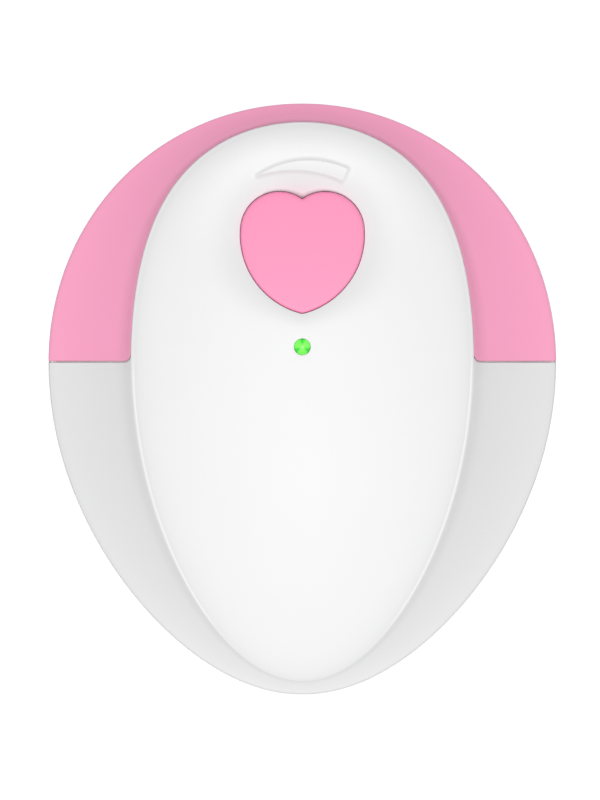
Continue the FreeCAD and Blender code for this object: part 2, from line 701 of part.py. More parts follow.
def rear_housing():
    bowl = bowl_form(0)
    shell = bowl.cut(bowl_form(FLOOR_SKIN, hidden=True))
    plateau = rounded_block((-DOOR_HALF - RUNNER_W, DOOR_HALF + RUNNER_W), PLATEAU_Y,
                            (0, FLOOR_TOP), PLATEAU_R)
    ring = rod(0, PROBE_Y, WINDOW_R + RING_W, WINDOW_PROUD, BELLY_Z + RING_H)
    bay = rounded_block((BAY_X[0] - BAY_WALL, BAY_X[1] + BAY_WALL),
                        (BAY_Y[0] - BAY_WALL, BAY_Y[1] + BAY_WALL),
                        (BELLY_Z, BAY_TOP + BAY_WALL), BAY_CORNER_R)
    shelf_z = PARTING_Z - LIP_DROP
    lip_out, lip_in = WALL + LIP_GAP, WALL + LIP_GAP + LIP_T
    lip = [egg_frame(WALL - SHELF_BITE, lip_in, shelf_z - SHELF_H, shelf_z),
           egg_frame(lip_out, lip_in, shelf_z, PARTING_Z + LIP_H)]
    pillars = [rod(spot.x, spot.y, PILLAR_R, BELLY_Z, PARTING_Z).common(bowl)
               for spot in SCREW_PLACES]
    shell = joined([shell, plateau, ring, bay] + lip + pillars)

    seat_z = DOOR_T + DOOR_LIFT
    groove_z = DOOR_T - TONGUE_DROP - TONGUE[1] - GROOVE_FIT
    door_end = DOOR_Y[0] - DOOR_FIT
    lead_slot = centred_box(SNAP_X[1] - LEAD_SETBACK, BATTERY_CENTRE[1], LEAD_SLOT, 3 * LEAD_PITCH,
                            (BAY_TOP - OVER, BAY_TOP + BAY_WALL + OVER))
    cuts = [box((-DOOR_HALF - DOOR_FIT, DOOR_HALF + DOOR_FIT), (door_end, END_Y), (-OVER, seat_z)),
            box((-DOOR_HALF - TONGUE[0] - DOOR_FIT, DOOR_HALF + TONGUE[0] + DOOR_FIT),
                (door_end, END_Y), (groove_z, seat_z)),
            box((-END_TONGUE_HALF, END_TONGUE_HALF), (door_end - TONGUE[0], DOOR_Y[0]),
                (groove_z, seat_z)),
            box(BAY_X, BAY_Y, (-OVER, BAY_TOP)), lead_slot, thick_patch(FIT),
            egg_frame(-OVER, LINE_DEPTH, PARTING_Z - LINE_H, PARTING_Z + OVER),
            rod(0, PROBE_Y, WINDOW_R + WINDOW_FIT, -OVER, LEDGE_Z),
            rod(0, PROBE_Y, CARRIER_R + FIT, -OVER, BELLY_Z + RING_H + OVER)]
    for spot in SCREW_PLACES:
        cuts.append(rod(spot.x, spot.y, SCREW_HEAD_R + SCREW_HEAD_ROOM, -OVER, SCREW_SEAT_Z))
        cuts.append(rod(spot.x, spot.y, SCREW_R + SCREW_HOLE_ROOM, SCREW_SEAT_Z - OVER,
                        PARTING_Z + OVER))
    return shell.cut(cuts)


def battery_door():
    slab = rounded_block((-DOOR_HALF, DOOR_HALF), DOOR_Y, (0, DOOR_T), DOOR_CORNER_R)
    tongue_z = (DOOR_T - TONGUE_DROP - TONGUE[1], DOOR_T - TONGUE_DROP)
    side = box((-DOOR_HALF - TONGUE[0], DOOR_HALF + TONGUE[0]),
               (DOOR_Y[0] + TONGUE_SHY, DOOR_Y[1] - TONGUE_SHY), tongue_z)
    end_half = END_TONGUE_HALF - 2 * DOOR_FIT
    end = box((-end_half, end_half), (DOOR_Y[0] - TONGUE[0], DOOR_Y[0] + OVER), tongue_z)
    grips = []
    for i in range(GRIP_COUNT):
        half = GRIP_HALF - GRIP_TAPER * i
        start = V(-half, DOOR_Y[1] - GRIP_SETBACK - i * GRIP_PITCH, 0)
        grips.append(Part.makeCylinder(GRIP_R, 2 * half, start, V(1, 0, 0)))
    return joined([slab, side, end]).cut(grips)


def screw(x, y, sizes, head_sizes, seat_z, cross):
    """A screw driven upwards: its head hangs below seat_z, with a cross recess."""
    radius, length = sizes
    head_r, head_h = head_sizes
    head = rod(x, y, head_r, seat_z - head_h, seat_z)
    shank = rod(x, y, radius, seat_z - head_h / 2, seat_z + length)
    long, wide, deep = cross
    recess = (seat_z - head_h - OVER, seat_z - head_h + deep)
    slots = [centred_box(x, y, long, wide, recess), centred_box(x, y, wide, long, recess)]
    return joined([head, shank]).cut(slots)


def case_screws():
    return Part.Compound([screw(spot.x, spot.y, (SCREW_R, SCREW_L), (SCREW_HEAD_R, SCREW_HEAD_H),
                                SCREW_SEAT_Z, SCREW_CROSS) for spot in SCREW_PLACES])


def board_screws():
    return Part.Compound([screw(spot.x, spot.y, (BOARD_SCREW_R, BOARD_SCREW_L),
                                (BOARD_SCREW_HEAD_R, BOARD_SCREW_HEAD_H), BOARD_Z, SMALL_CROSS)
                          for spot in BOARD_POSTS])


# Heart key, switch and light

def heart_button():
    """The key's cap, the flange that stops it from lifting out, and the stem on the switch."""
    behind_panel = WALL + KEY_GAP + KEY_LIFT_STOP
    below = case_form(behind_panel + KEY_SKIN, hidden=True)
    cap = heart_prism(0, CASE_HEIGHT - KEY_DEPTH, FACE_TOP).common(case_form(-KEY_PROUD))
    under = case_form(behind_panel, hidden=True)
    flange = heart_prism(KEY_FLANGE, CASE_HEIGHT - KEY_DEPTH, FACE_TOP).common(under)
    stem = rod(0, SWITCH_Y, KEY_STEM_R, BOARD_TOP + SWITCH_H + PLUNGER_RISE, FACE_TOP)
    return cap.cut(below).multiFuse([flange.cut(below), stem.common(under)])


def power_switch():
    body = centred_box(0, SWITCH_Y, SWITCH_W, SWITCH_W, (BOARD_TOP, BOARD_TOP + SWITCH_H))
    floor = BOARD_TOP + SWITCH_H - PLUNGER_ROOT - KEY_TRAVEL - PLUNGER_ROOM
    return body.cut(rod(0, SWITCH_Y, PLUNGER_R + SMALL_FIT, floor, FACE_TOP))


def switch_plunger():
    top = BOARD_TOP + SWITCH_H
    return rod(0, SWITCH_Y, PLUNGER_R, top - PLUNGER_ROOT, top + PLUNGER_RISE)


def status_led():
    flange = rod(0, LED_Y, LED_FLANGE_R, LED_SEAT_Z, LED_SEAT_Z + LED_FLANGE_H)
    body = rod(0, LED_Y, LED_R, LED_SEAT_Z, LED_TOP_Z - LED_R)
    lens = Part.makeSphere(LED_R, V(0, LED_Y, LED_TOP_Z - LED_R))
    pins = [rod(x, LED_Y, LED_PIN_R, BOARD_Z - LED_PIN_TAIL, LED_SEAT_Z + LED_FLANGE_H / 2)
            for x in LED_PIN_XS]
    return joined([flange, body, lens] + pins)


def led_pin_holes():
    return [rod(x, LED_Y, LED_PIN_R + SMALL_FIT, BOARD_Z - OVER, LED_SEAT_Z + OVER)
            for x in LED_PIN_XS]


def led_spacer():
    return rod(0, LED_Y, SPACER_R, BOARD_TOP, LED_SEAT_Z).cut(led_pin_holes())


# Volume wheel

def volume_wheel():
    """A thumbwheel with V grooves round its rim and a recess between its rim and its hub."""
    wheel = rod(0, WHEEL_Y, WHEEL_R, WHEEL_Z, WHEEL_TOP)
    pitch = 2 * math.pi / WHEEL_RIBS
    cuts = []
    for i in range(WHEEL_RIBS):
        corners = []
        for reach, step in ((WHEEL_R + SMALL_FIT, i - WHEEL_GROOVE_SHARE),
                            (WHEEL_R - WHEEL_RIB_DEPTH, i),
                            (WHEEL_R + SMALL_FIT, i + WHEEL_GROOVE_SHARE)):
            turn = step * pitch
            corners.append(V(reach * math.cos(turn), WHEEL_Y + reach * math.sin(turn),
                             WHEEL_Z - OVER))
        groove = Part.Face(Part.makePolygon(corners + corners[:1]))
        cuts.append(groove.extrude(UP * (WHEEL_T + 2 * OVER)))
    cuts.append(tube(0, WHEEL_Y, WHEEL_R - WHEEL_RIM_W, SPINDLE_R + WHEEL_HUB_W,
                     WHEEL_Z - OVER, WHEEL_Z + WHEEL_RECESS))
    cuts.append(rod(0, WHEEL_Y, SPINDLE_R, WHEEL_Z - OVER, WHEEL_TOP + OVER))
    return wheel.cut(cuts)


def wheel_spindle():
    spindle = rod(0, WHEEL_Y, SPINDLE_R, WHEEL_Z, POT_Z + SPINDLE_BITE)
    return spindle.cut(rod(0, WHEEL_Y, WHEEL_SCREW_R, WHEEL_Z - OVER, WHEEL_TOP))


def wheel_screw():
    return screw(0, WHEEL_Y, (WHEEL_SCREW_R, WHEEL_T - WHEEL_SCREW_SHY), WHEEL_SCREW_HEAD,
                 WHEEL_Z, SMALL_CROSS)


def volume_pot():
    body = centred_box(0, WHEEL_Y, POT[0], POT[1], (POT_Z, BOARD_Z))
    return body.cut(rod(0, WHEEL_Y, SPINDLE_R + SPINDLE_FIT, POT_Z - OVER,
                        POT_Z + SPINDLE_BITE + SMALL_FIT))


# Headphone jacks

def headphone_jack(side):
    width, length, height = JACK_BODY
    front = -JACK_SETBACK
    corner = V(-width / 2, front - length, -height / 2)
    body = at_jack(side, Part.makeBox(width, length, height, corner))
    seat = jack_rod(side, JACK_NOSE_R, front - JACK_SEAT, front + OVER)
    bore = jack_rod(side, JACK_INNER_R, front - length + JACK_BACK_WALL, front)
    return body.cut([seat, bore])


def jack_bushing(side):
    back = -JACK_SETBACK - JACK_SEAT
    return jack_rod(side, JACK_NOSE_R, back, 0).cut(jack_rod(side, JACK_BORE_R, back - OVER, OVER))


def jack_pins():
    """Solder blades from each jack's sides into the board."""
    width, length, height = JACK_BODY
    thick, wide, tall = JACK_PIN
    pins = []
    for side in (1, -1):
        for x in (-width / 2 - thick, width / 2):
            corner = V(x, -JACK_SETBACK - length * JACK_PIN_SHARE, height / 2 - tall)
            pins.append(at_jack(side, Part.makeBox(thick, wide, tall, corner)))
    return Part.Compound(pins)


# Power

def battery():
    block = box(BATTERY_X, BATTERY_YS, (BATTERY_Z, BATTERY_TOP))
    along = [e for e in block.Edges if abs(e.tangentAt(e.FirstParameter).x) > 0.9]
    return block.makeFillet(BATTERY_EDGE_R, along)


def stud_rod(y, radius, x_low, x_high):
    return Part.makeCylinder(radius, x_high - x_low, V(x_low, y, BATTERY_MID_Z), V(1, 0, 0))


def battery_studs():
    face, tip = BATTERY_X[1], BATTERY_X[1] + STUD_H
    plus = stud_rod(STUD_YS[0], STUD_R, face, tip)
    minus = stud_rod(STUD_YS[1], SOCKET_STUD_R, face, tip)
    well = stud_rod(STUD_YS[1], STUD_R, face + SOCKET_FLOOR, tip + OVER)
    return Part.Compound([plus, minus.cut(well)])


def battery_snap():
    body = box(SNAP_X, (BATTERY_CENTRE[1] - SNAP[1] / 2, BATTERY_CENTRE[1] + SNAP[1] / 2),
               (BATTERY_MID_Z - SNAP[2] / 2, BATTERY_MID_Z + SNAP[2] / 2))
    depth = SNAP_X[0] + STUD_H + CONTACT_T
    wells = [stud_rod(y, radius + SMALL_FIT, SNAP_X[0] - OVER, depth)
             for y, radius in zip(STUD_YS, (STUD_R, SOCKET_STUD_R))]
    return body.cut(wells)


def snap_contacts():
    low = SNAP_X[0] + STUD_H
    return Part.Compound([stud_rod(y, radius, low, low + CONTACT_T)
                          for y, radius in zip(STUD_YS, (STUD_R, SOCKET_STUD_R))])


def battery_pad():
    return box((BATTERY_X[0] + PAD_MARGIN, BATTERY_X[1] - PAD_MARGIN),
               (BATTERY_YS[0] + PAD_MARGIN, BATTERY_YS[1] - PAD_MARGIN), (BATTERY_TOP, BAY_TOP))


def lead(points, radius):
    """A round lead along straight runs joined by tangent arcs."""
    edges = []
    start = points[0]
    for before, corner, after in zip(points, points[1:], points[2:]):
        back, ahead = before - corner, after - corner
        turn = math.pi - back.getAngle(ahead)
        cut = 0.45 * min(back.Length, ahead.Length)
        arc_r = cut / math.tan(turn / 2)
        back.normalize()
        ahead.normalize()
        enter, leave = corner + back * cut, corner + ahead * cut
        centre = corner + (back + ahead).normalize() * (arc_r / math.cos(turn / 2))
        middle = centre + (corner - centre).normalize() * arc_r
        edges.append(Part.LineSegment(start, enter).toShape())
        edges.append(Part.Arc(enter, middle, leave).toShape())
        start = leave
        print(f"lead bend {arc_r:.1f} mm for a {2 * radius:.1f} mm lead")
    edges.append(Part.LineSegment(start, points[-1]).toShape())
    path = Part.Wire(edges)
    section = Part.Wire(Part.makeCircle(radius, points[0], points[1] - points[0]))
    return path.makePipeShell([section], True, False)


def battery_lead(side):
    """From the snap's back, up through the slot in the bay's roof and on to the board."""
    x = SNAP_X[1] - LEAD_SETBACK
    y = BATTERY_CENTRE[1] + side * LEAD_PITCH / 2
    snap_top = BATTERY_MID_Z + SNAP[2] / 2
    far_x, far_y = x + LEAD_SPREAD[0], y + side * LEAD_SPREAD[1]
    return lead([V(x, y, snap_top), V(x, y, snap_top + LEAD_RISE), V(far_x, far_y, BAY_TOP),
                 V(far_x, far_y, BOARD_Z)], LEAD_R)


# Ultrasound probe

def half_disc(radius, side, z_low, z_high):
    """One half of a disc, on one side of the divider."""
    disc = rod(0, PROBE_Y, radius, z_low, z_high)
    edge = DIVIDER_T / 2 + SMALL_FIT
    keep = (edge, radius + OVER) if side > 0 else (-radius - OVER, -edge)
    return disc.common(box(keep, (PROBE_Y - radius, PROBE_Y + radius), (z_low, z_high)))


def probe_window():
    window = rod(0, PROBE_Y, WINDOW_R, 0, WINDOW_T)
    return window.makeChamfer(WINDOW_EDGE, [e for e in window.Edges if e.BoundBox.ZMax < 0.01])


def probe_carrier():
    cup = rod(0, PROBE_Y, CARRIER_R, WINDOW_T, CARRIER_TOP)
    cuts = [rod(0, PROBE_Y, CARRIER_R - CARRIER_WALL, WINDOW_T - OVER, CARRIER_CEILING)]
    cuts += [rod(x, PROBE_Y + PROBE_LEAD_Y[0], PROBE_LEAD_R + SMALL_FIT, WINDOW_T,
                 CARRIER_TOP + OVER) for x in (-PROBE_LEAD_X[0], PROBE_LEAD_X[0])]
    return cup.cut(cuts)


def probe_divider():
    reach = math.sqrt((CARRIER_R - CARRIER_WALL) ** 2 - (DIVIDER_T / 2) ** 2) - DIVIDER_FIT
    return box((-DIVIDER_T / 2, DIVIDER_T / 2), (PROBE_Y - reach, PROBE_Y + reach),
               (WINDOW_T, CARRIER_CEILING))


def probe_backing():
    return Part.Compound([half_disc(CRYSTAL_R, side, CRYSTAL_TOP, CARRIER_CEILING)
                          for side in (1, -1)])


def probe_lead(side):
    """Straight up out of the probe, over its ring and into the board's tail."""
    probe_x, board_x = PROBE_LEAD_X
    start_y = PROBE_Y + PROBE_LEAD_Y[0]
    end_y = BOARD_TAIL_Y + PROBE_LEAD_Y[1]
    points = [V(probe_x, start_y, CARRIER_CEILING), V(probe_x, start_y, CARRIER_CEILING + 5.0),
              V(probe_x - 0.4, start_y + 3.5, CARRIER_CEILING + 9.2),
              V(board_x + 0.2, end_y - 6.5, BOARD_Z - 5.4),
              V(board_x, end_y - 1.8, BOARD_Z - 3.4), V(board_x, end_y, BOARD_Z + BOARD_T / 2)]
    return lead([V(side * p.x, p.y, p.z) for p in points], PROBE_LEAD_R)


# Electronics

def main_board():
    board = egg_prism(PANEL, BOARD_INSET, BOARD_Z, BOARD_TOP)
    board = board.common(box((-PANEL[0], PANEL[0]), (BOARD_TAIL_Y, END_Y), (BOARD_Z, BOARD_TOP)))
    holes = [rod(spot.x, spot.y, BOARD_SCREW_R + BOARD_HOLE_ROOM, BOARD_Z - OVER, BOARD_TOP + OVER)
             for spot in BOARD_POSTS]
    lead_y = BOARD_TAIL_Y + PROBE_LEAD_Y[1] - FIT
    holes += [rod(x, lead_y, PROBE_LEAD_R + PROBE_LEAD_ROOM, BOARD_Z - OVER, BOARD_TOP + OVER)
              for x in (-PROBE_LEAD_X[1], PROBE_LEAD_X[1])]
    return board.cut(holes + led_pin_holes())


def chip(x, y, size_x, size_y, height, legs_a_side):
    """A moulded chip with a row of flat feet along its two long sides."""
    leg_w, leg_l, leg_h = LEG
    pieces = [centred_box(x, y, size_x, size_y, (BOARD_TOP + CHIP_LIFT, BOARD_TOP + height))]
    for i in range(legs_a_side):
        leg_x = x + (i - (legs_a_side - 1) / 2) * LEG_PITCH
        for side in (-1, 1):
            foot_y = y + side * (size_y / 2 + leg_l / 2)
            pieces.append(centred_box(leg_x, foot_y, leg_w, leg_l + SMALL_FIT,
                                      (BOARD_TOP, BOARD_TOP + leg_h)))
    return joined(pieces)


def filter_capacitors():
    cans = []
    for x, y, radius, height in CAPACITORS:
        can = rod(x, y, radius, BOARD_TOP, BOARD_TOP + height)
        top = [e for e in can.Edges if e.BoundBox.ZMin > BOARD_TOP + OVER]
        cans.append(can.makeChamfer(CAPACITOR_EDGE, top))
    return Part.Compound(cans)


def clock_crystal():
    x, y, height = CLOCK_CAN
    return rounded_block(x, y, (BOARD_TOP, BOARD_TOP + height), CLOCK_CAN_R)


def tuning_coils():
    side, height = COIL_CAN
    core_r, core_depth = COIL_CORE
    coils = []
    for x, y in COIL_PLACES:
        can = centred_box(x, y, side, side, (BOARD_TOP, BOARD_TOP + height))
        top = BOARD_TOP + height
        coils.append(can.cut(rod(x, y, core_r, top - core_depth, top + OVER)))
    return Part.Compound(coils)


front = case_form(0)
PIECES = {
    "upper_housing": upper_housing(front),
    "crown_trim": crown_trim(front),
    "rear_housing": rear_housing(),
    "battery_door": battery_door(),
    "case_screws": case_screws(),
    "board_screws": board_screws(),
    "heart_button": heart_button(),
    "switch_plunger": switch_plunger(),
    "power_switch": power_switch(),
    "status_led": status_led(),
    "led_spacer": led_spacer(),
    "volume_wheel": volume_wheel(),
    "wheel_spindle": wheel_spindle(),
    "wheel_screw": wheel_screw(),
    "volume_pot": volume_pot(),
    "headphone_jack_left": headphone_jack(-1),
    "headphone_jack_right": headphone_jack(1),
    "jack_bushing_left": jack_bushing(-1),
    "jack_bushing_right": jack_bushing(1),
    "jack_pins": jack_pins(),
    "battery": battery(),
    "battery_studs": battery_studs(),
    "battery_snap": battery_snap(),
    "snap_contacts": snap_contacts(),
    "battery_pad": battery_pad(),
    "battery_lead_red": battery_lead(-1),
    "battery_lead_black": battery_lead(1),
    "probe_window": probe_window(),
    "probe_gasket": tube(0, PROBE_Y, WINDOW_R, WINDOW_R - GASKET_W, WINDOW_T, LEDGE_Z),
    "probe_carrier": probe_carrier(),
    "probe_divider": probe_divider(),
    "transmit_crystal": half_disc(CRYSTAL_R, 1, WINDOW_T, CRYSTAL_TOP),
    "receive_crystal": half_disc(CRYSTAL_R, -1, WINDOW_T, CRYSTAL_TOP),
    "probe_backing": probe_backing(),
    "probe_lead_transmit": probe_lead(1),
    "probe_lead_receive": probe_lead(-1),
    "main_board": main_board(),
    "signal_chip": chip(*SIGNAL_CHIP),
    "audio_chip": chip(*AUDIO_CHIP),
    "filter_capacitors": filter_capacitors(),
    "clock_crystal": clock_crystal(),
    "tuning_coils": tuning_coils(),
}

os.makedirs("parts", exist_ok=True)
for name, piece in PIECES.items():
    piece.exportStep(f"parts/{name}.step")
    print(name, len(piece.Solids), piece.isValid(), round(piece.Volume, 1))
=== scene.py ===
import bmesh
import bpy
import math
import numpy as np
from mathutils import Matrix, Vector
from mathutils.geometry import delaunay_2d_cdt


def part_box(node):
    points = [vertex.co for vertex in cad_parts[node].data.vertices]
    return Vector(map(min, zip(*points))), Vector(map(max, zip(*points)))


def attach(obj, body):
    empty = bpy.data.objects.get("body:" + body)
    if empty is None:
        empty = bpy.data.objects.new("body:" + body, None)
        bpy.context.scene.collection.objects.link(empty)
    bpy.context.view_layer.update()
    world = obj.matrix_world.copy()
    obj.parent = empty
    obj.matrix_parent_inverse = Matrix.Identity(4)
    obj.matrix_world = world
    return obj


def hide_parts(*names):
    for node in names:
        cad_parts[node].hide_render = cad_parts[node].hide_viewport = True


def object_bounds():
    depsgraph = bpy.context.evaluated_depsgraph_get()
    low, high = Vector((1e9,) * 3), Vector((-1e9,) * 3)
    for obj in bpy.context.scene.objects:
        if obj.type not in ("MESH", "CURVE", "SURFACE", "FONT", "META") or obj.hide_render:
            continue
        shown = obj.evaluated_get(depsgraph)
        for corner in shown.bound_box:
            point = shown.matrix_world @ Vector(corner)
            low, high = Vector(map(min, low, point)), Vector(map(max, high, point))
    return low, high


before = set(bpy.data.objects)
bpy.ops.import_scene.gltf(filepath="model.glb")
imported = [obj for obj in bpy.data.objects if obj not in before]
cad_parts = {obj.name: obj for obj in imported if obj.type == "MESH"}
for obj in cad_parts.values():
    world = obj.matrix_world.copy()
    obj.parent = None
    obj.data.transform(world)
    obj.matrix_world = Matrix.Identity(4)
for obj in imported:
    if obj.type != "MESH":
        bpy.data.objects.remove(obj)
cad_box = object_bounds()


# ---- Front housing --------------------------------------------------------------------------
# The white front moulding: the domed egg-shaped panel, the two wings that sweep down from it, and
# the sunk land on which the crown trim lies. Injection-moulded ABS, satin from a blasted tool.

MM = 0.001
CASE_HIGH = cad_box[1] / MM
FRONT_LOW, FRONT_HIGH = [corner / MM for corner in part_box("upper_housing")]

# Plan of an egg: half width, reach to the head, reach to the tail, fullness of head and tail
END_Y = CASE_HIGH.y
OUTLINE = (CASE_HIGH.x, 45.8, 58.9, 0.02, -0.14)
PANEL = (30.3, 42.35, 56.5, 0.19, -0.1)
SEAM_Y = END_Y - OUTLINE[1]

# Section of the case: wall, shoulder, sweep, bead round the panel, and dome
PARTING_Z = FRONT_LOW.z
PANEL_TOP = FRONT_HIGH.z
WALL = 2.4
WALL_LEAN = 0.15                # how far the wall leans in by its top
SHOULDER_R = 0.5
SHOULDER_TURN = math.radians(60)
SHOULDER_Z = 22.9               # beside the seam, from where it rises to both ends
SHOULDER_RISE_HEAD = 5.6
SHOULDER_RISE_TAIL = 7.1
RIM_Z = 32.5                    # beside the seam, from where it falls to both ends
RIM_FALL_HEAD = 0.2
RIM_FALL_TAIL = 1.6
TAIL_POWER = 2.2                # how late both turn on the way to the tail
SWEEP_BEND = 0.36
SWEEP_FOOT = 0.89               # share of the sweep's width beyond which it steepens
FOOT_SHARE = 0.07               # share of its rise that lies there
CROWN_FOOT_SHARE = 0.07         # what the crown's side has on top of that
BEAD_R = 0.6
BEAD_START = math.radians(40)   # how far up its arc the sweep meets it
BEAD_FLAT = 0.12                # width of its level top beside the seam
BEAD_END_FLAT = 0.04            # and at the head and the tail
BEAD_LEAN = math.radians(14)    # slope of its top beside the crown and round the tail
BEAD_LIFT = 0.06                # what that slope adds to its height
SEAM_BLEND = 12.0               # how sharply what holds beside the crown ends at the seam
TAIL_BLEND = (-0.8, -0.925)     # where on the way to the tail, at -1, that slope starts and is full
DOME_EDGE_SHARE = 0.1           # share of the dome's fall that lies near its edge
DOME_EDGE_POWER = 24
DOME_LIP_SHARE = 0.05           # share of it that lies just inside the bead
DOME_LIP_POWER = 60
DOME_EASE = (0.35, 0.55)        # what is left of both at the tail and beside the seam

# Room for the crown trim
CROWN_T = 1.0
CROWN_GAP = 0.1                 # under the crown
CROWN_FIT = 0.03                # between the crown and the bead
CROWN_LINE = 0.32               # width of the open line between the crown and the wings
LINE_DEPTHS = (0.35, 1.08)      # its depth on the wall and above it
LEDGE_FIT = 0.01                # between its floor and the crown's edge
CROWN_CORNER_R = 1.2

# Thumb scallop in the wide end
SCALLOP_DEPTH = 1.6
SCALLOP_R = 5.0
SCALLOP_SWEEP_R = 26.0          # along the wall, in plan
SCALLOP_HALF = 12.0             # the reach of that curve
SCALLOP_SOFT = 0.3              # half width of the blend at its edge
SCALLOP_TOP = 2.6               # how far up the skin it may reach, in v of case_skin

# Heart, light and wedge on the panel
HEART_Y = 29.75                 # centres of its two lobes
LOBE_X = 4.05
LOBE_R = 6.85
HEART_SIDE_R = 14.3
HEART_TIP_Y = 15.15
HEART_TIP_R = 1.5
KEY_GAP = 0.08
LED_LOW, LED_HIGH = [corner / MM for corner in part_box("status_led")]
LED_Y = (LED_LOW.y + LED_HIGH.y) / 2
LED_HOLE_R = 1.45
HOLE_EDGE_R = 0.14
DISH_DEPTH = 1.6                # beside the key
DISH_REACH = 11.0               # from the key outwards
DISH_POWER = 2.4
DISH_ABOVE = 0.9                # how much deeper it is above the key than beside it
DISH_BELOW = 0.7                # how much shallower and shorter it is below it
DISH_WALL = 1.2                 # least wall under it
WEDGE = ((-7.9, 39.4), (1.0, 42.1), (8.0, 40.6), (7.1, 38.5), (-0.9, 40.4))  # two arcs and a short end
WEDGE_RISE = 0.34
WEDGE_FOOT = 0.85               # how far its sides run out over the panel
WEDGE_STEPS = 24                # on each of its arcs
WEDGE_END_STEPS = 6             # and on its short end
LED_POINTS = 48                 # round the light's hole


def bisect(gap, low, high, halvings=36):
    """Where gap turns from negative to positive between low and high, for whole arrays."""
    for _ in range(halvings):
        middle = (low + high) / 2
        over = gap(middle) > 0
        low, high = np.where(over, low, middle), np.where(over, middle, high)
    return (low + high) / 2


def egg(form, inset, tau):
    """Points of an egg's outline at ring angles tau, pulled in by inset, about the seam's centre."""
    half_width, head, tail, head_full, tail_full = form
    head, tail = head - inset, tail - inset
    s = np.sin(tau)
    y = (head + tail) / 2 * s - (tail - head) / 2 * s * s
    reach = np.where(y >= 0, head, tail)
    v = np.clip(np.abs(y) / reach, 0, 1)
    x = (half_width - inset) * np.sqrt(1 - v * v) * (1 + np.where(y >= 0, head_full, tail_full) * v * v)
    return x * np.where(np.cos(tau) >= 0, 1, -1), y + SEAM_Y


def rim_height(s):
    """The panel's rim under its bead; s is 1 at the head, 0 beside the seam and -1 at the tail."""
    tail_fall = RIM_FALL_TAIL * np.abs(s) ** TAIL_POWER
    return RIM_Z - np.where(s > 0, RIM_FALL_HEAD * s * s, tail_fall)


def shoulder_height(s):
    """The top of the shoulder, where the sweep starts."""
    tail_rise = SHOULDER_RISE_TAIL * np.abs(s) ** TAIL_POWER
    return SHOULDER_Z + np.where(s > 0, SHOULDER_RISE_HEAD * s * s, tail_rise)


def beside_crown(s):
    """1 beside the crown and 0 beside the wings, with a short blend at the seam."""
    return np.clip(0.5 + SEAM_BLEND * s, 0, 1)


bead_w = BEAD_R * math.cos(BEAD_START)
dome_edge = (PANEL[0] - bead_w - BEAD_FLAT, PANEL[1] - bead_w - BEAD_END_FLAT,
             PANEL[2] - bead_w - BEAD_END_FLAT, PANEL[3], PANEL[4])


def plain_bead(s):
    """1 where the bead's top slopes like the dome: beside the crown and round the tail."""
    start, end = TAIL_BLEND
    return beside_crown(s) + np.clip((start - s) / (start - end), 0, 1)


def bead_height(s):
    """The bead's top above the rim."""
    return BEAD_R * (1 - math.sin(BEAD_START)) + BEAD_LIFT * plain_bead(s)


def scallop_wall(x, z, inset):
    """The end wall's y in the scallop, far out of the case wherever there is none."""
    across = np.clip(np.abs(x), 0, SCALLOP_HALF)
    reach = SCALLOP_R - SCALLOP_SWEEP_R + np.sqrt(SCALLOP_SWEEP_R ** 2 - across ** 2)
    room = np.clip(reach, 0, None) ** 2 - (z - WHEEL_MID_Z) ** 2
    axis_y = END_Y - SCALLOP_DEPTH + SCALLOP_R
    return axis_y - np.sqrt(np.clip(room, 0, None)) - inset


def case_skin(tau, v, inset):
    """The case's side, pulled in by inset, at ring angles tau.

    v runs up it: 0 to 1 on the wall, 1 to 2 on the shoulder, 2 to 3 on the sweep, 3 to 4 on the
    bead's arc and 4 to 5 on its level top.
    """
    s = np.sin(tau)
    wall, shoulder, sweep, arc, level = [np.clip(v - start, 0, 1) for start in range(5)]
    turn = shoulder * SHOULDER_TURN
    bead_end = math.pi / 2 - BEAD_LEAN * plain_bead(s)
    bead = BEAD_START + arc * (bead_end - BEAD_START)
    foot = shoulder_height(s)
    low = egg(OUTLINE, inset + WALL_LEAN * wall + SHOULDER_R * (1 - np.cos(turn)), tau)
    high = egg(PANEL, bead_w - BEAD_R * np.cos(bead), tau)
    high = [a + (b - a) * level for a, b in zip(high, egg(dome_edge, 0, tau))]
    x, y = [a + (b - a) * sweep for a, b in zip(low, high)]
    wall_top = foot - SHOULDER_R * math.sin(SHOULDER_TURN) - inset
    z = PARTING_Z + (wall_top - PARTING_Z) * wall + SHOULDER_R * np.sin(turn)
    rise = sweep + SWEEP_BEND * (sweep ** 2 - sweep)
    foot_share = FOOT_SHARE + CROWN_FOOT_SHARE * beside_crown(s)
    rise = rise + foot_share * (np.clip((sweep - SWEEP_FOOT) / (1 - SWEEP_FOOT), 0, 1) - rise)
    z = z + (rim_height(s) - foot) * rise + BEAD_R * (np.sin(bead) - math.sin(BEAD_START))
    z += (bead_height(s) - BEAD_R * (np.sin(bead_end) - math.sin(BEAD_START))) * level
    dent = scallop_wall(x, z, inset)
    blend = np.clip(0.5 + (dent - y) / (2 * SCALLOP_SOFT), 0, 1)
    softened = dent + (y - dent) * blend - SCALLOP_SOFT * blend * (1 - blend)
    y = np.where((s > 0) & (v < SCALLOP_TOP), softened, y)
    return np.stack([x, y, z], -1)


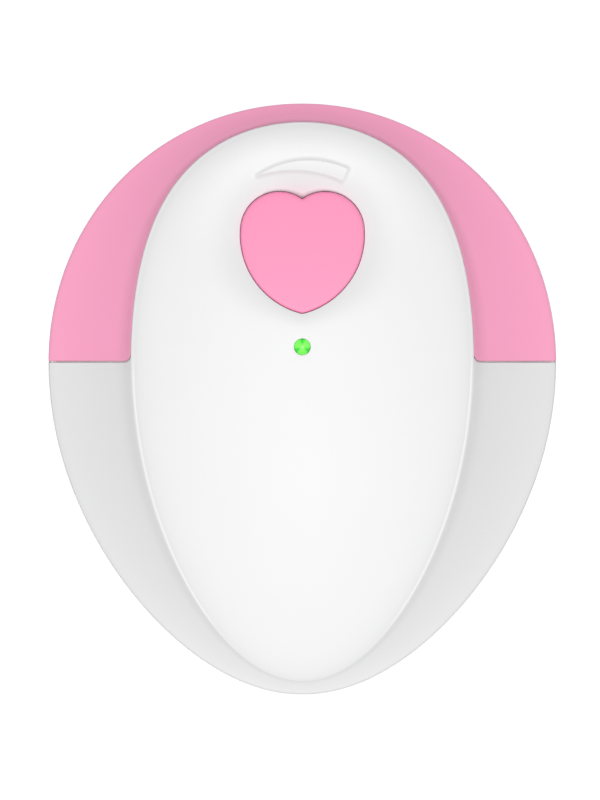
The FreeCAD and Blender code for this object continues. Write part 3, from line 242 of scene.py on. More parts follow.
def heart(offset, pitch=0.4):
    """The heart's outline moved out by offset: two lobes, two sides and a rounded tip, as arcs."""
    lobe, tip = np.array([LOBE_X, HEART_Y]), np.array([0, HEART_TIP_Y + HEART_TIP_R])
    apart = np.linalg.norm(lobe - tip)
    to_tip, to_lobe = HEART_SIDE_R - HEART_TIP_R, HEART_SIDE_R - LOBE_R
    along = (to_tip ** 2 - to_lobe ** 2 + apart ** 2) / (2 * apart)
    unit = (lobe - tip) / apart
    side = tip + unit * along + np.array([-unit[1], unit[0]]) * math.sqrt(to_tip ** 2 - along ** 2)
    lobe_r = LOBE_R + offset
    notch = math.atan2(math.sqrt(lobe_r ** 2 - LOBE_X ** 2), -LOBE_X)
    joint = math.atan2(*(lobe - side)[::-1])
    below = math.atan2(*(tip - side)[::-1])
    right = []
    for centre, radius, start, end in ((lobe, lobe_r, notch, joint),
                                       (side, HEART_SIDE_R + offset, joint, below),
                                       (tip, HEART_TIP_R + offset, below, -math.pi / 2)):
        steps = max(4, round(abs(end - start) * radius / pitch))
        for angle in np.linspace(start, end, steps + 1)[:-1]:
            right.append(centre + radius * np.array([math.cos(angle), math.sin(angle)]))
    right = np.array(right)
    bottom = tip - np.array([0, HEART_TIP_R + offset])
    return np.concatenate([right, [bottom], (right * (-1, 1))[:0:-1]])


def arc_through(a, b, c, count):
    """Points on the circle through a, b and c, from a to just before c."""
    (ax, ay), (bx, by), (cx, cy) = a, b, c
    d = 2 * (ax * (by - cy) + bx * (cy - ay) + cx * (ay - by))
    squares = [ax * ax + ay * ay, bx * bx + by * by, cx * cx + cy * cy]
    ux = (squares[0] * (by - cy) + squares[1] * (cy - ay) + squares[2] * (ay - by)) / d
    uy = (squares[0] * (cx - bx) + squares[1] * (ax - cx) + squares[2] * (bx - ax)) / d
    start, end = math.atan2(ay - uy, ax - ux), math.atan2(cy - uy, cx - ux)
    turns = np.linspace(start, end, count + 1)[:-1]
    return np.stack([ux, uy]) + math.hypot(ax - ux, ay - uy) * np.stack([np.cos(turns), np.sin(turns)], -1)


def distance_to(points, loop):
    """Each point's distance to a closed outline."""
    best = np.full(len(points), 1e9)
    for a, b in zip(loop, np.roll(loop, -1, 0)):
        edge = b - a
        t = np.clip((points - a) @ edge / (edge @ edge), 0, 1)
        best = np.minimum(best, np.linalg.norm(points - a - t[:, None] * edge, axis=1))
    return best


def inside(points, loop):
    """Which points lie inside a closed outline."""
    within = np.zeros(len(points), bool)
    for a, b in zip(loop, np.roll(loop, -1, 0)):
        spans = (a[1] > points[:, 1]) != (b[1] > points[:, 1])
        rise = b[1] - a[1] if b[1] != a[1] else 1e-12
        within ^= spans & (points[:, 0] < (b[0] - a[0]) * (points[:, 1] - a[1]) / rise + a[0])
    return within


def hex_points(low, high, pitch):
    """A honeycomb of points over a rectangle."""
    rows = []
    for i, y in enumerate(np.arange(low[1], high[1], pitch * math.sqrt(3) / 2)):
        x = np.arange(low[0] + (i % 2) * pitch / 2, high[0], pitch)
        rows.append(np.stack([x, np.full(len(x), y)], -1))
    return np.concatenate(rows)


def filled(outer, holes, rings, points):
    """Triangles over the plan between an outline and its holes, through rings and points."""
    loops = [outer] + holes + rings
    spots, edges = [], []
    for loop in loops:
        first = len(spots)
        spots += [Vector(p) for p in loop]
        edges += [(first + i, first + (i + 1) % len(loop)) for i in range(len(loop))]
    spots += [Vector(p) for p in points]
    plan, _, faces, *_ = delaunay_2d_cdt(spots, edges, [], 0, 1e-7)
    plan = np.array(plan)
    faces = np.array(faces)
    centres = plan[faces].mean(1)
    keep = inside(centres, outer)
    for hole in holes:
        keep &= ~inside(centres, hole)
    return plan, faces[keep].tolist()


def dome_height(plan):
    """The panel's plain dome over points of the plan: a power of their share of the way to its edge."""
    half_width, head, tail, head_full, tail_full = dome_edge
    x, y = np.abs(plan[:, 0]), plan[:, 1] - SEAM_Y

    def beyond(scale):
        """How far each point lies inside the dome's edge shrunk to this scale."""
        reach = np.where(y >= 0, head, tail)
        v = np.clip(np.abs(y) / scale / reach, 0, 1)
        fullness = np.where(y >= 0, head_full, tail_full)
        return half_width * np.sqrt(1 - v * v) * (1 + fullness * v * v) - x / scale

    scale = bisect(beyond, np.full(len(x), 1e-4), np.full(len(x), 1.3))
    middle, shift = (head + tail) / 2, (tail - head) / 2
    s = (middle - np.sqrt(np.clip(middle ** 2 - 4 * shift * y / scale, 0, None))) / (2 * shift)
    ease = np.interp(s, (-1, 0, 1), (*DOME_EASE, 1))
    edge_share, lip_share = DOME_EDGE_SHARE * ease, DOME_LIP_SHARE * ease
    fall = (1 - edge_share - lip_share) * scale ** 2 + edge_share * scale ** DOME_EDGE_POWER
    fall += lip_share * scale ** DOME_LIP_POWER
    return PANEL_TOP - (PANEL_TOP - rim_height(s) - bead_height(s)) * fall


def edge_drop(distance, radius):
    """How far a rounded edge falls at a distance from it."""
    near = np.clip(radius - distance, 0, radius)
    return radius - np.sqrt(radius ** 2 - near ** 2)


def dish_depth(plan):
    """How far the dish round the key lies below the plain dome."""
    away = plan - (0, HEART_Y)
    lean = away[:, 1] / np.maximum(np.hypot(*away.T), 1e-6)
    above, below = np.clip(lean, 0, 1) ** 2, np.clip(-lean, 0, 1) ** 2
    from_dish = distance_to(plan, dish_line) * np.where(inside(plan, dish_line), -1, 1)
    dish = np.clip(1 - from_dish / (DISH_REACH * (1 - DISH_BELOW * below)), 0, None) ** DISH_POWER
    return dish * DISH_DEPTH * (1 + DISH_ABOVE * above - DISH_BELOW * below)


def back_height(plan):
    """The panel's inner face, lower where the dish would break through it."""
    return dome_height(plan) - np.maximum(WALL, dish_depth(plan) + DISH_WALL)


def panel_height(plan):
    """The panel with its dish round the key, the volume wedge and the rounded edges of its holes."""
    from_key = distance_to(plan, heart(0)) * np.where(inside(plan, heart(0)), -1, 1)
    from_wedge = distance_to(plan, wedge_line) * np.where(inside(plan, wedge_line), -1, 1)
    lift = np.clip(1 - from_wedge / WEDGE_FOOT, 0, 1) ** 2
    led_edge = np.hypot(plan[:, 0], plan[:, 1] - LED_Y) - LED_HOLE_R
    height = dome_height(plan) - dish_depth(plan) + WEDGE_RISE * lift
    height -= edge_drop(np.clip(from_key - KEY_GAP, 0, None), HOLE_EDGE_R)
    return height - edge_drop(np.clip(led_edge, 0, None), HOLE_EDGE_R)


def over_plan(plan, height):
    """Points of the plan at their heights."""
    return np.concatenate([plan, height[:, None]], 1)


def grid(points, reverse=False):
    """A patch of quads through rows of points."""
    rows, columns = points.shape[:2]
    faces = []
    for i in range(rows - 1):
        for j in range(columns - 1):
            a = i * columns + j
            quad = (a, a + 1, a + columns + 1, a + columns)
            faces.append(quad[::-1] if reverse else quad)
    return points.reshape(-1, 3), faces


def welded(name, patches, sharp=40):
    """A closed piece at the origin from patches in millimetres that share their edges."""
    shape = bmesh.new()
    for points, faces in patches:
        verts = [shape.verts.new(Vector(p) * MM) for p in points]
        for face in faces:
            shape.faces.new([verts[i] for i in face])
    bmesh.ops.remove_doubles(shape, verts=shape.verts, dist=2e-6)
    bmesh.ops.dissolve_degenerate(shape, edges=shape.edges, dist=1e-7)
    bmesh.ops.recalc_face_normals(shape, faces=shape.faces)
    mesh = bpy.data.meshes.new(name)
    shape.to_mesh(mesh)
    shape.free()
    return smoothed(placed(name, mesh), sharp)


def placed(name, mesh):
    """A new object at the origin."""
    piece = bpy.data.objects.new(name, mesh)
    bpy.context.scene.collection.objects.link(piece)
    return piece


def smoothed(piece, sharp):
    """Smooth shading, broken at edges that turn by more than the angle sharp."""
    mesh = piece.data
    mesh.polygons.foreach_set("use_smooth", [True] * len(mesh.polygons))
    mesh.set_sharp_from_angle(angle=math.radians(sharp))
    return piece


def baked(piece, sharp=40):
    """The piece with its modifiers made part of its mesh."""
    view = bpy.context.evaluated_depsgraph_get()
    mesh = bpy.data.meshes.new_from_object(piece.evaluated_get(view))
    piece.modifiers.clear()
    shape = bmesh.new()
    shape.from_mesh(mesh)
    bmesh.ops.remove_doubles(shape, verts=shape.verts, dist=3e-6)
    bmesh.ops.dissolve_degenerate(shape, edges=shape.edges, dist=1e-7)
    bmesh.ops.holes_fill(shape, edges=[edge for edge in shape.edges if edge.is_boundary], sides=4)
    shape.to_mesh(mesh)
    shape.free()
    piece.data = mesh
    return smoothed(piece, sharp)


def combined(piece, shapes, operation="DIFFERENCE", sharp=40):
    """Takes closed shapes out of a piece or adds them to it, and uses them up."""
    for shape in shapes:
        change = piece.modifiers.new("combine", "BOOLEAN")
        change.operation = operation
        change.solver = "EXACT"
        change.object = shape
    baked(piece, sharp)
    for shape in shapes:
        bpy.data.objects.remove(shape)
    return piece


def wheel_cutter():
    """The slot in which the volume wheel turns."""
    low, high, reach = WHEEL_Z[0] - SLOT_ROOM, WHEEL_Z[1] + SLOT_ROOM, WHEEL_R + SLOT_ROOM
    return turned("slot", [(0, low), (reach, low), (reach, high), (0, high)], (0, WHEEL_Y, 0), count=96)


def jack_cutters():
    """The holes for the headphone sockets, flared where they break out of the wall."""
    profile = [(0, -JACK_HOLE_DEPTH), (JACK_HOLE_R, -JACK_HOLE_DEPTH)]
    profile += [(JACK_HOLE_R + out, height) for out, height in JACK_HOLE_FLARE]
    profile.append((0, profile[-1][1]))
    return [turned("socket", profile, centre, axis) for centre, axis in JACKS]


def turned(name, profile, centre, axis=(0, 0, 1), count=48, sharp=40):
    """A lathe-turned shape: pairs of radius and height along an axis from a centre."""
    along = Vector(axis).normalized()
    across = along.orthogonal().normalized()
    third = along.cross(across)
    rings = []
    for radius, height in profile:
        ring = []
        for angle in np.linspace(0, 2 * math.pi, count + 1):
            spoke = across * math.cos(angle) + third * math.sin(angle)
            ring.append(Vector(centre) + along * height + spoke * radius)
        rings.append(ring)
    return welded(name, [grid(np.array(rings))], sharp)


def linear(code):
    """A colour written as an sRGB hex code, as Blender's linear numbers."""
    channels = [int(code[i:i + 2], 16) / 255 for i in (1, 3, 5)]
    return tuple(c / 12.92 if c <= 0.04045 else ((c + 0.055) / 1.055) ** 2.4 for c in channels) + (1.0,)


def add(tree, kind, inputs, **settings):
    """Adds one node with its settings, and fills its inputs with values or links."""
    made = tree.nodes.new(kind)
    for name, value in settings.items():
        setattr(made, name, value)
    for name, value in inputs.items():
        if isinstance(value, bpy.types.NodeSocket):
            tree.links.new(value, made.inputs[name])
        else:
            made.inputs[name].default_value = value
    return made


def surface(name):
    """An empty material: its node tree, its shader and its object coordinates."""
    material = bpy.data.materials.new(name)
    material.use_nodes = True
    tree = material.node_tree
    place = add(tree, "ShaderNodeTexCoord", {})
    return material, tree, tree.nodes["Principled BSDF"], place.outputs["Object"]


FLOW_MM = 18.0                  # size of the drifts of colour in a moulding
GLOSS_SPREAD = 0.05             # of its roughness, up and down


def moulded(name, base, shade, roughness, grain_mm, depth_mm):
    """Moulded plastic: a hair of colour drift from flow, a blasted tool's grain and uneven gloss."""
    material, tree, shader, place = surface(name)
    flow = add(tree, "ShaderNodeTexNoise", {"Vector": place, "Scale": 1 / (FLOW_MM * MM), "Detail": 2.0})
    tint = add(tree, "ShaderNodeMix", {0: flow.outputs["Fac"], 6: linear(base), 7: linear(shade)},
               data_type="RGBA")
    grain = add(tree, "ShaderNodeTexNoise",
                {"Vector": place, "Scale": 1 / (grain_mm * MM), "Detail": 3.0, "Roughness": 0.6})
    gloss = add(tree, "ShaderNodeMapRange",
                {"Value": grain.outputs["Fac"], "To Min": roughness - GLOSS_SPREAD,
                 "To Max": roughness + GLOSS_SPREAD})
    bump = add(tree, "ShaderNodeBump",
               {"Height": grain.outputs["Fac"], "Strength": 0.6, "Distance": depth_mm * MM})
    tree.links.new(tint.outputs[2], shader.inputs["Base Color"])
    tree.links.new(gloss.outputs["Result"], shader.inputs["Roughness"])
    tree.links.new(bump.outputs["Normal"], shader.inputs["Normal"])
    shader.inputs["IOR"].default_value = 1.53
    shader.inputs["Specular IOR Level"].default_value = 0.3
    return material


WHEEL_LOW, WHEEL_HIGH = [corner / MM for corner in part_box("volume_wheel")]
WHEEL_Z = (WHEEL_LOW.z, WHEEL_HIGH.z)
WHEEL_MID_Z = sum(WHEEL_Z) / 2
WHEEL_R = (WHEEL_HIGH.x - WHEEL_LOW.x) / 2
WHEEL_Y = (WHEEL_HIGH.y + WHEEL_LOW.y) / 2
SLOT_ROOM = 0.4
JACK_TAU = math.radians(62)
JACK_INSET = 0.4                # of the sockets' mouths from the outline
JACK_HOLE_R = 3.0
JACK_HOLE_DEPTH = 12.0
JACK_HOLE_FLARE = ((0.0, -0.25), (0.12, -0.02), (4.0, 3.9))     # radius added, height from the mouth
JACK_Z = sum(corner.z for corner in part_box("headphone_jack_left")) / 2 / MM
jack_x, jack_y = egg(OUTLINE, JACK_INSET, JACK_TAU)
ahead_x, ahead_y = egg(OUTLINE, JACK_INSET, JACK_TAU - 0.01)
jack_out = Vector((jack_y - ahead_y, ahead_x - jack_x, 0)).normalized()
JACKS = [((side * jack_x, jack_y, JACK_Z), (side * abs(jack_out.x), jack_out.y, 0)) for side in (1, -1)]


def seam_tau(v, margin):
    """The ring angle at which the skin crosses a line at a margin from the seam."""
    v = np.asarray(v, float)
    return bisect(lambda tau: case_skin(tau, v, 0)[..., 1] - SEAM_Y - margin,
                  np.full(v.shape, -0.2), np.full(v.shape, 0.2))


def sweep_place(x, y):
    """The skin's own coordinates of a point in plan on the right-hand sweep."""
    def across(tau):
        """How far the point lies to one side of the sweep's line at tau."""
        high = case_skin(tau, 3.0, 0)
        run = case_skin(tau, 2.0, 0) - high
        return run[..., 1] * (x - high[..., 0]) - run[..., 0] * (y - high[..., 1])

    tau = bisect(across, np.full(np.shape(x), -0.2), np.full(np.shape(x), 0.5))
    low, high = case_skin(tau, 2.0, 0), case_skin(tau, 3.0, 0)
    return tau, 2 + (low[..., 0] - x) / (low[..., 0] - high[..., 0])


WALL_ROWS = 22
SHOULDER_ROWS = 6
SWEEP_ROWS = 16
HEAD_COLUMNS = 150
WING_COLUMNS = 170
CORNER_STEPS = 6                # on the arc of the crown's inner corner


def crown_patch(panel_margin, seam_margin, inset):
    """The crown's part of the skin, with its two inner corners rounded: tau, v and points, by rows."""
    panel_x = case_skin(0.0, 3.0, 0)[0] + panel_margin
    centre = (panel_x + CROWN_CORNER_R, SEAM_Y + seam_margin + CROWN_CORNER_R)
    turns = np.linspace(-math.pi / 2, -math.pi, CORNER_STEPS + 1)
    corner_tau, corner_v = sweep_place(centre[0] + CROWN_CORNER_R * np.cos(turns),
                                       centre[1] + CROWN_CORNER_R * np.sin(turns))
    half = CORNER_STEPS // 2
    rows_v = np.concatenate([np.linspace(0, 1, WALL_ROWS + 1), np.linspace(1, 2, SHOULDER_ROWS + 1)[1:],
                             np.linspace(2, corner_v[0], SWEEP_ROWS + 1)[1:], corner_v[1:half + 1]])
    side_tau = seam_tau(rows_v, seam_margin)
    side_tau[-half:] = corner_tau[1:half + 1]
    first_tau = corner_tau[-1]
    inner_tau = first_tau + (math.pi - 2 * first_tau) * np.linspace(0, 1, HEAD_COLUMNS + 1)
    low, high = case_skin(inner_tau, 2.0, 0), case_skin(inner_tau, 3.0, 0)
    width = np.hypot(*(low - high)[:, :2].T)
    inner_v = 3 - panel_margin / width
    top_tau = np.concatenate([corner_tau[half:-1], inner_tau, math.pi - corner_tau[half:-1][::-1]])
    top_v = np.concatenate([corner_v[half:-1], inner_v, corner_v[half:-1][::-1]])
    u = (top_tau - top_tau[0]) / (top_tau[-1] - top_tau[0])
    low_tau = side_tau[0] + (math.pi - 2 * side_tau[0]) * u
    t = (rows_v - rows_v[0]) / (rows_v[-1] - rows_v[0])
    u, t = u[None, :], t[:, None]
    tau = (1 - u) * side_tau[:, None] + u * (math.pi - side_tau[:, None])
    for weight, line in ((1 - t, low_tau), (t, top_tau)):
        tau = tau + weight * (line - (1 - u) * line[0] - u * line[-1])
    v = t * top_v + rows_v[:, None] - t * rows_v[-1]
    return tau, v, case_skin(tau, v, inset)


def border(patch):
    """The right side, top and left side of a patch, as one line."""
    return np.concatenate([patch[:, 0], patch[-1, 1:-1], patch[::-1, -1]])


land_inset = CROWN_T + CROWN_GAP
room_tau, room_v, room_top = crown_patch(0, -CROWN_LINE / 2, 0)
ledge_tau, ledge_v, land = crown_patch(LEDGE_FIT, CROWN_LINE / 2 - LEDGE_FIT, land_inset)
step = [border(land)]
for tau, v in ((ledge_tau, ledge_v), (room_tau, room_v)):
    step.append(border(case_skin(tau, v, np.interp(v, (1, 2), LINE_DEPTHS))))
step = np.stack(step + [border(room_top)])

# Rows and columns of the white skin beside the room
half = CORNER_STEPS // 2
straight = room_v.shape[0] - half
arc = np.concatenate([room_top[straight - 1:, 0], room_top[-1, 1:half + 1]])
base_v = sweep_place(arc[:, 0], np.full(len(arc), SEAM_Y - CROWN_LINE / 2))[1]
base_v[-1] = 3.0
wing_rows = np.concatenate([room_v[:straight, 0], base_v[1:]])
seam_right = seam_tau(wing_rows, -CROWN_LINE / 2)
wing_share = np.linspace(0, 1, WING_COLUMNS + 1)
wing_tau = (math.pi - seam_right)[:, None] + (math.pi + 2 * seam_right)[:, None] * wing_share
wings = case_skin(wing_tau, wing_rows[:, None], 0)
base = wings[straight - 1:, -1]
corner = np.stack([base, arc])
bead_tau = np.concatenate([room_tau[-1, half:-half], wing_tau[-1], room_tau[-1, half:half + 1] + 2 * math.pi])
bead_rows = np.concatenate([np.linspace(3, 4, 6), (4.5, 5)])            # in v: its arc and its level top
bead = case_skin(bead_tau[None, :], bead_rows[:, None], 0)

wedge_line = np.concatenate([arc_through(WEDGE[0], WEDGE[1], WEDGE[2], WEDGE_STEPS),
                             np.linspace(WEDGE[2], WEDGE[3], WEDGE_END_STEPS + 1)[:-1],
                             arc_through(WEDGE[3], WEDGE[4], WEDGE[0], WEDGE_STEPS)])
led_turns = np.linspace(0, 2 * math.pi, LED_POINTS + 1)[:-1]
led_circle = np.stack([np.cos(led_turns), np.sin(led_turns)], -1)
key_hole = heart(KEY_GAP)
led_hole = (0, LED_Y) + led_circle * LED_HOLE_R

# The dish starts from the heart without its notch
dish_line = heart(0)
dish_line = dish_line[(np.abs(dish_line[:, 0]) > LOBE_X) | (dish_line[:, 1] < HEART_Y)]

# Rings of points where the panel bends most: at its holes, inside its bead and round the wedge
HOLE_ROWS = (0.2, 0.45, 0.7, 1.0)                       # in parts of the radius of a hole's edge
EDGE_RINGS = (0.996, 0.99, 0.982, 0.97)                 # in parts of the way to the panel's edge
edge_steps = HOLE_EDGE_R * np.array(HOLE_ROWS)
rings = [heart(KEY_GAP + step_out) for step_out in edge_steps]
rings += [(0, LED_Y) + led_circle * (LED_HOLE_R + step_out) for step_out in edge_steps]
panel_edge = bead[-1, :-1, :2]
rings += [(0, SEAM_Y) + (panel_edge - (0, SEAM_Y)) * share for share in EDGE_RINGS]
rings.append(wedge_line)

# Between them a honeycomb in three zones: the open dome, the dish and the wedge's sides. Each has
# its corners, its pitch, its distances from the key and from the wedge, and its room at the light.
FAR = 1000.0
POINT_SHARE = 0.955             # of the way to the panel's edge
POINT_ZONES = ((panel_edge.min(0), panel_edge.max(0), 1.1, (8.0, FAR), (1.5, FAR), 2.4),
               ((-20, 7), (20, 44), 0.6, (0.7, 7.6), (1.1, FAR), 0.0),
               ((-9.6, 37), (9.6, 44.2), 0.17, (0.0, FAR), (0.06, 0.95), 0.0))


def panel_points():
    """Points over the panel: coarse on the open dome, fine in the dish and finest on the wedge."""
    inner_edge = (0, SEAM_Y) + (panel_edge - (0, SEAM_Y)) * POINT_SHARE
    found = []
    for low, high, pitch, key_range, wedge_range, led_room in POINT_ZONES:
        points = hex_points(low, high, pitch)
        kept = inside(points, inner_edge) & (np.hypot(points[:, 0], points[:, 1] - LED_Y) > led_room)
        for line, (near, far) in ((heart(0), key_range), (wedge_line, wedge_range)):
            distance = distance_to(points, line)
            kept &= (distance > near) & (distance < far)
        found.append(points[kept])
    return np.concatenate(found)


plan, panel_faces = filled(panel_edge, [key_hole, led_hole], rings, panel_points())
panel_top = over_plan(plan, panel_height(plan))
panel_back = over_plan(plan, back_height(plan))
patches = [(panel_top, panel_faces), (panel_back, [f[::-1] for f in panel_faces])]
patches += [grid(wings), grid(bead), grid(land), grid(step), grid(corner, reverse=True)]
patches += [grid(corner * (-1, 1, 1))]
inner_bead = bead - (0, 0, WALL)
inner_room = case_skin(room_tau, room_v, WALL)
inner_wings = case_skin(wing_tau, wing_rows[:, None], WALL)
inner_corner = inner_wings[straight - 1:, -1]
inner_arc = np.concatenate([inner_room[straight - 1:, 0], inner_room[-1, 1:half + 1]])
patches += [grid(inner_bead, reverse=True), grid(inner_room, reverse=True), grid(inner_wings, reverse=True)]
patches += [grid(np.stack([inner_corner, inner_arc])),
            grid(np.stack([inner_corner, inner_arc]) * (-1, 1, 1), reverse=True)]
patches += [grid(np.stack([inner_room[0], land[0]])), grid(np.stack([inner_wings[0], wings[0]]))]
for end in (0, -1):
    ends = [inner_room[0, end], *step[:, end]]
    patches.append((np.array(ends), [tuple(range(len(ends)))]))
for hole in (key_hole, led_hole):
    loop = np.concatenate([hole, hole[:1]])
    wall = np.stack([over_plan(loop, panel_height(loop)), over_plan(loop, back_height(loop))])
    patches.append(grid(wall))
front = combined(welded("front_shell", patches), [wheel_cutter()] + jack_cutters())

# Satin white ABS: nearly even, with a soft sheen that follows the curves
white_abs = moulded("satin_white_abs", "#e9e9e9", "#e7e7e8", 0.42, 0.5, 0.004)
front.data.materials.append(white_abs)
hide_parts("upper_housing")
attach(front, "case")


# ---- Crown trim -----------------------------------------------------------------------------
# The pink horseshoe over the wide end, a thin ABS moulding pegged into the land of the front
# housing. It is pierced for the two headphone sockets and for the volume wheel.

CROWN_EDGE_R = 0.16
BEAD_EDGE_SHARE = 0.25          # how much of that rounding its edge along the bead has


def crown_shell():
    """The crown's outside with softly rounded edges, its flat edges and its underside."""
    layers = []
    for turn in np.radians([90, 60, 30, 0]):
        shy, depth = CROWN_EDGE_R * (1 - math.cos(turn)), CROWN_EDGE_R * (1 - math.sin(turn))
        layers.append(crown_patch(CROWN_FIT + BEAD_EDGE_SHARE * shy, CROWN_LINE / 2 + shy, depth)[-1])
    layers.append(crown_patch(CROWN_FIT, CROWN_LINE / 2, CROWN_T)[-1])
    around = [np.concatenate([border(layer), layer[0, -2::-1]]) for layer in layers]
    return [grid(layers[0]), grid(layers[-1], reverse=True), grid(np.stack(around[::-1]))]


crown = combined(welded("crown_shell", crown_shell()), [wheel_cutter()] + jack_cutters())

# Pink ABS from a tool blasted like the front's: one even colour with a broad, soft sheen
pink_abs = moulded("satin_pink_abs", "#ffa9cb", "#fda7c9", 0.4, 0.5, 0.004)
crown.data.materials.append(pink_abs)
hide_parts("crown_trim")
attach(crown, "case")


# ---- Heart key ------------------------------------------------------------------------------
# The on and off key: one pink ABS moulding, held from within. Its top is curved like the dome and
# lies under it, but above the bottom of the dish, and its edge is rounded where the thumb meets it.

KEY_PROUD = -0.8                # its top from the plain dome, so just below it
KEY_EDGE_R = 0.35
KEY_SKIRT = 3.2
KEY_SPAN = ((-12, 14), (12, 38))
KEY_PITCH = 0.9                 # of the points on its top
KEY_BORDER = 0.8                # from its edge to the first of them
EDGE_ROWS = (0.06, 0.2, 0.45, 0.75, 1.0)                # of points over its edge, in parts of its radius

edge_steps = KEY_EDGE_R * np.array(EDGE_ROWS)
key_line = heart(0)
key_points = hex_points(*KEY_SPAN, KEY_PITCH)
key_points = key_points[inside(key_points, key_line) & (distance_to(key_points, key_line) > KEY_BORDER)]
plan, key_faces = filled(key_line, [], [heart(-step_in) for step_in in edge_steps], key_points)
key_top = dome_height(plan) + KEY_PROUD - edge_drop(distance_to(plan, key_line), KEY_EDGE_R)
loop = np.concatenate([key_line, key_line[:1]])
key_wall = np.stack([over_plan(loop, dome_height(loop) + KEY_PROUD - KEY_EDGE_R),
                     over_plan(loop, dome_height(loop) + KEY_PROUD - KEY_SKIRT)])
key = welded("heart_key", [(over_plan(plan, key_top), key_faces), grid(key_wall, reverse=True),
                           (over_plan(plan, dome_height(plan) + KEY_PROUD - KEY_SKIRT),
                            [face[::-1] for face in key_faces])])

# Pink ABS, deeper in colour and finer in grain: plain and smooth, with hardly a highlight
key_abs = moulded("smooth_pink_abs", "#f991b8", "#f88fb7", 0.42, 0.5, 0.002)
key.data.materials.append(key_abs)
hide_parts("heart_button")
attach(key, "key")


# ---- Rear housing ---------------------------------------------------------------------------
# The white bowl behind: battery bay on a raised plateau, a ring for the probe and four deep screw
# holes. Injection-moulded ABS from a spark-eroded tool, so it is finer in grip and duller.

BELLY_INSET = 11.0
BELLY_Z = 2.5
FLOOR_SKIN = 2.0

# Shadow line and lip at the parting plane
LINE_DEPTH = 0.35
LINE_H = 0.4
LINE_EDGE = 0.12
LINE_TURN = 3.5                 # degrees round the bowl at which it starts below the line
SHELF_Z = PARTING_Z - 0.8
LIP_Z = (SHELF_Z - 1.6, PARTING_Z + 1.4)
LIP_INSETS = (WALL - 0.9, WALL + 0.35, WALL + 1.3)      # its root, its outside and its inside

# Plateau, door and battery bay
PLATEAU_HALF = 32.2
PLATEAU_R = 5.0
PLATEAU_EDGE_R = 0.5
PLATEAU_Y = (-4.85, 29.45)
DOOR_HALF = 28.8
DOOR_Y = (-1.25, 29.25)
DOOR_T = 2.0
DOOR_FIT = 0.2
TONGUE_W = 1.0
TONGUE_ROOM_Z = (DOOR_T - 1.05, DOOR_T + 0.05)
END_ROOM_HALF = 17.3            # half width of the groove for the door's end tongue
BAY_X = (-27.0, 27.2)
BAY_Y = (0.35, 27.65)
BAY_WALL = 1.2
BAY_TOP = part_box("battery")[1].z / MM + 0.5
BAY_CORNER_R = 2.5
LEAD_SLOT = ((22.0, 25.6), (9.8, 18.2))                 # in the bay's roof
WHEEL_ROOM = ((-10.7, 10.7), (END_Y - 3.4, END_Y + 5), (13.2, 22.2))     # in X, Y and Z

# Probe ring: its edge and the window's seat are pairs of radius added and height
PROBE_Y = -24.5
RING_R = 18.0
RING_BORE_R = 13.0
RING_TOP = 6.0
RING_EDGE = ((0.0, 0.9), (-0.12, 0.62), (-0.4, 0.5))
WINDOW_R = 16.15
WINDOW_SEAT = ((0.35, 0.0), (0.25, 0.62), (0.0, 0.8), (0.0, 1.9))
CARRIER_R = 14.4
CARRIER_TOP = 8.0

# Screw pillars and their holes
SCREW_INSET = 8.2
SCREW_TAUS = np.radians([7, 173, -57, -123])
SCREW_SEAT_Z = 8.0
SCREW_ROOM_R = 2.5
SCREW_MOUTH = (1.0, 3.4)        # how much wider its room starts, and up to what height it narrows
SCREW_HOLE_R = 1.3
PILLAR_R = 3.3
PILLAR_Z = (4.2, PARTING_Z)

BOWL_ROWS = (22, 12)            # down its outside and its inside
RING_POINTS = 221               # round the bowl and its lip
ROUND_STEPS = 128               # round the probe


def bowl(turn, inset):
    """Rings of the bowl at angles turn, 0 at the parting plane and a quarter circle at its floor."""
    tau = np.linspace(0, 2 * math.pi, RING_POINTS)[None, :]
    turn = np.asarray(turn)[:, None]
    x, y = egg(OUTLINE, inset + BELLY_INSET * (1 - np.cos(turn)), tau)
    return np.stack([x, y, PARTING_Z - (PARTING_Z - BELLY_Z - inset) * np.sin(turn) + 0 * tau], -1)


def case_ring(inset, z):
    """The case's outline pulled in by inset, at one height."""
    x, y = egg(OUTLINE, inset, np.linspace(0, 2 * math.pi, RING_POINTS))
    return np.stack([x, y, np.full(x.shape, z)], -1)


def cap(ring):
    """One face over a flat closed ring whose last point repeats its first."""
    return ring[:-1], [tuple(range(len(ring) - 1))]


def block(x, y, z, corner_r=0.0, edge_r=0.0):
    """A closed block between pairs of x, y and z, its upright and its lower edges rounded."""
    layers = [(0.0, z[1])]
    for turn in np.radians((0, 30, 60, 90) if edge_r else (0,)):
        layers.append((edge_r * (1 - math.cos(turn)), z[0] + edge_r * (1 - math.sin(turn))))
    rings = []
    for shy, height in layers:
        ring = []
        radius = max(corner_r - shy, 0)
        in_by = corner_r or shy
        steps = 7 if corner_r else 1
        for quarter, (cx, cy) in enumerate(((1, 1), (0, 1), (0, 0), (1, 0))):
            mid_x, mid_y = x[cx] + (1 - 2 * cx) * in_by, y[cy] + (1 - 2 * cy) * in_by
            for turn in np.linspace(0, math.pi / 2, steps) + quarter * math.pi / 2:
                ring.append((mid_x + radius * math.cos(turn), mid_y + radius * math.sin(turn), height))
        rings.append(ring + ring[:1])
    rings = np.array(rings)
    return welded("block", [grid(rings), cap(rings[0]), cap(rings[-1])])


def shaft(x, y, steps, count=48):
    """A turned shape along Z from pairs of radius and height, closed on its axis."""
    return turned("shaft", [(0, steps[0][1])] + list(steps) + [(0, steps[-1][1])], (x, y, 0), count=count)


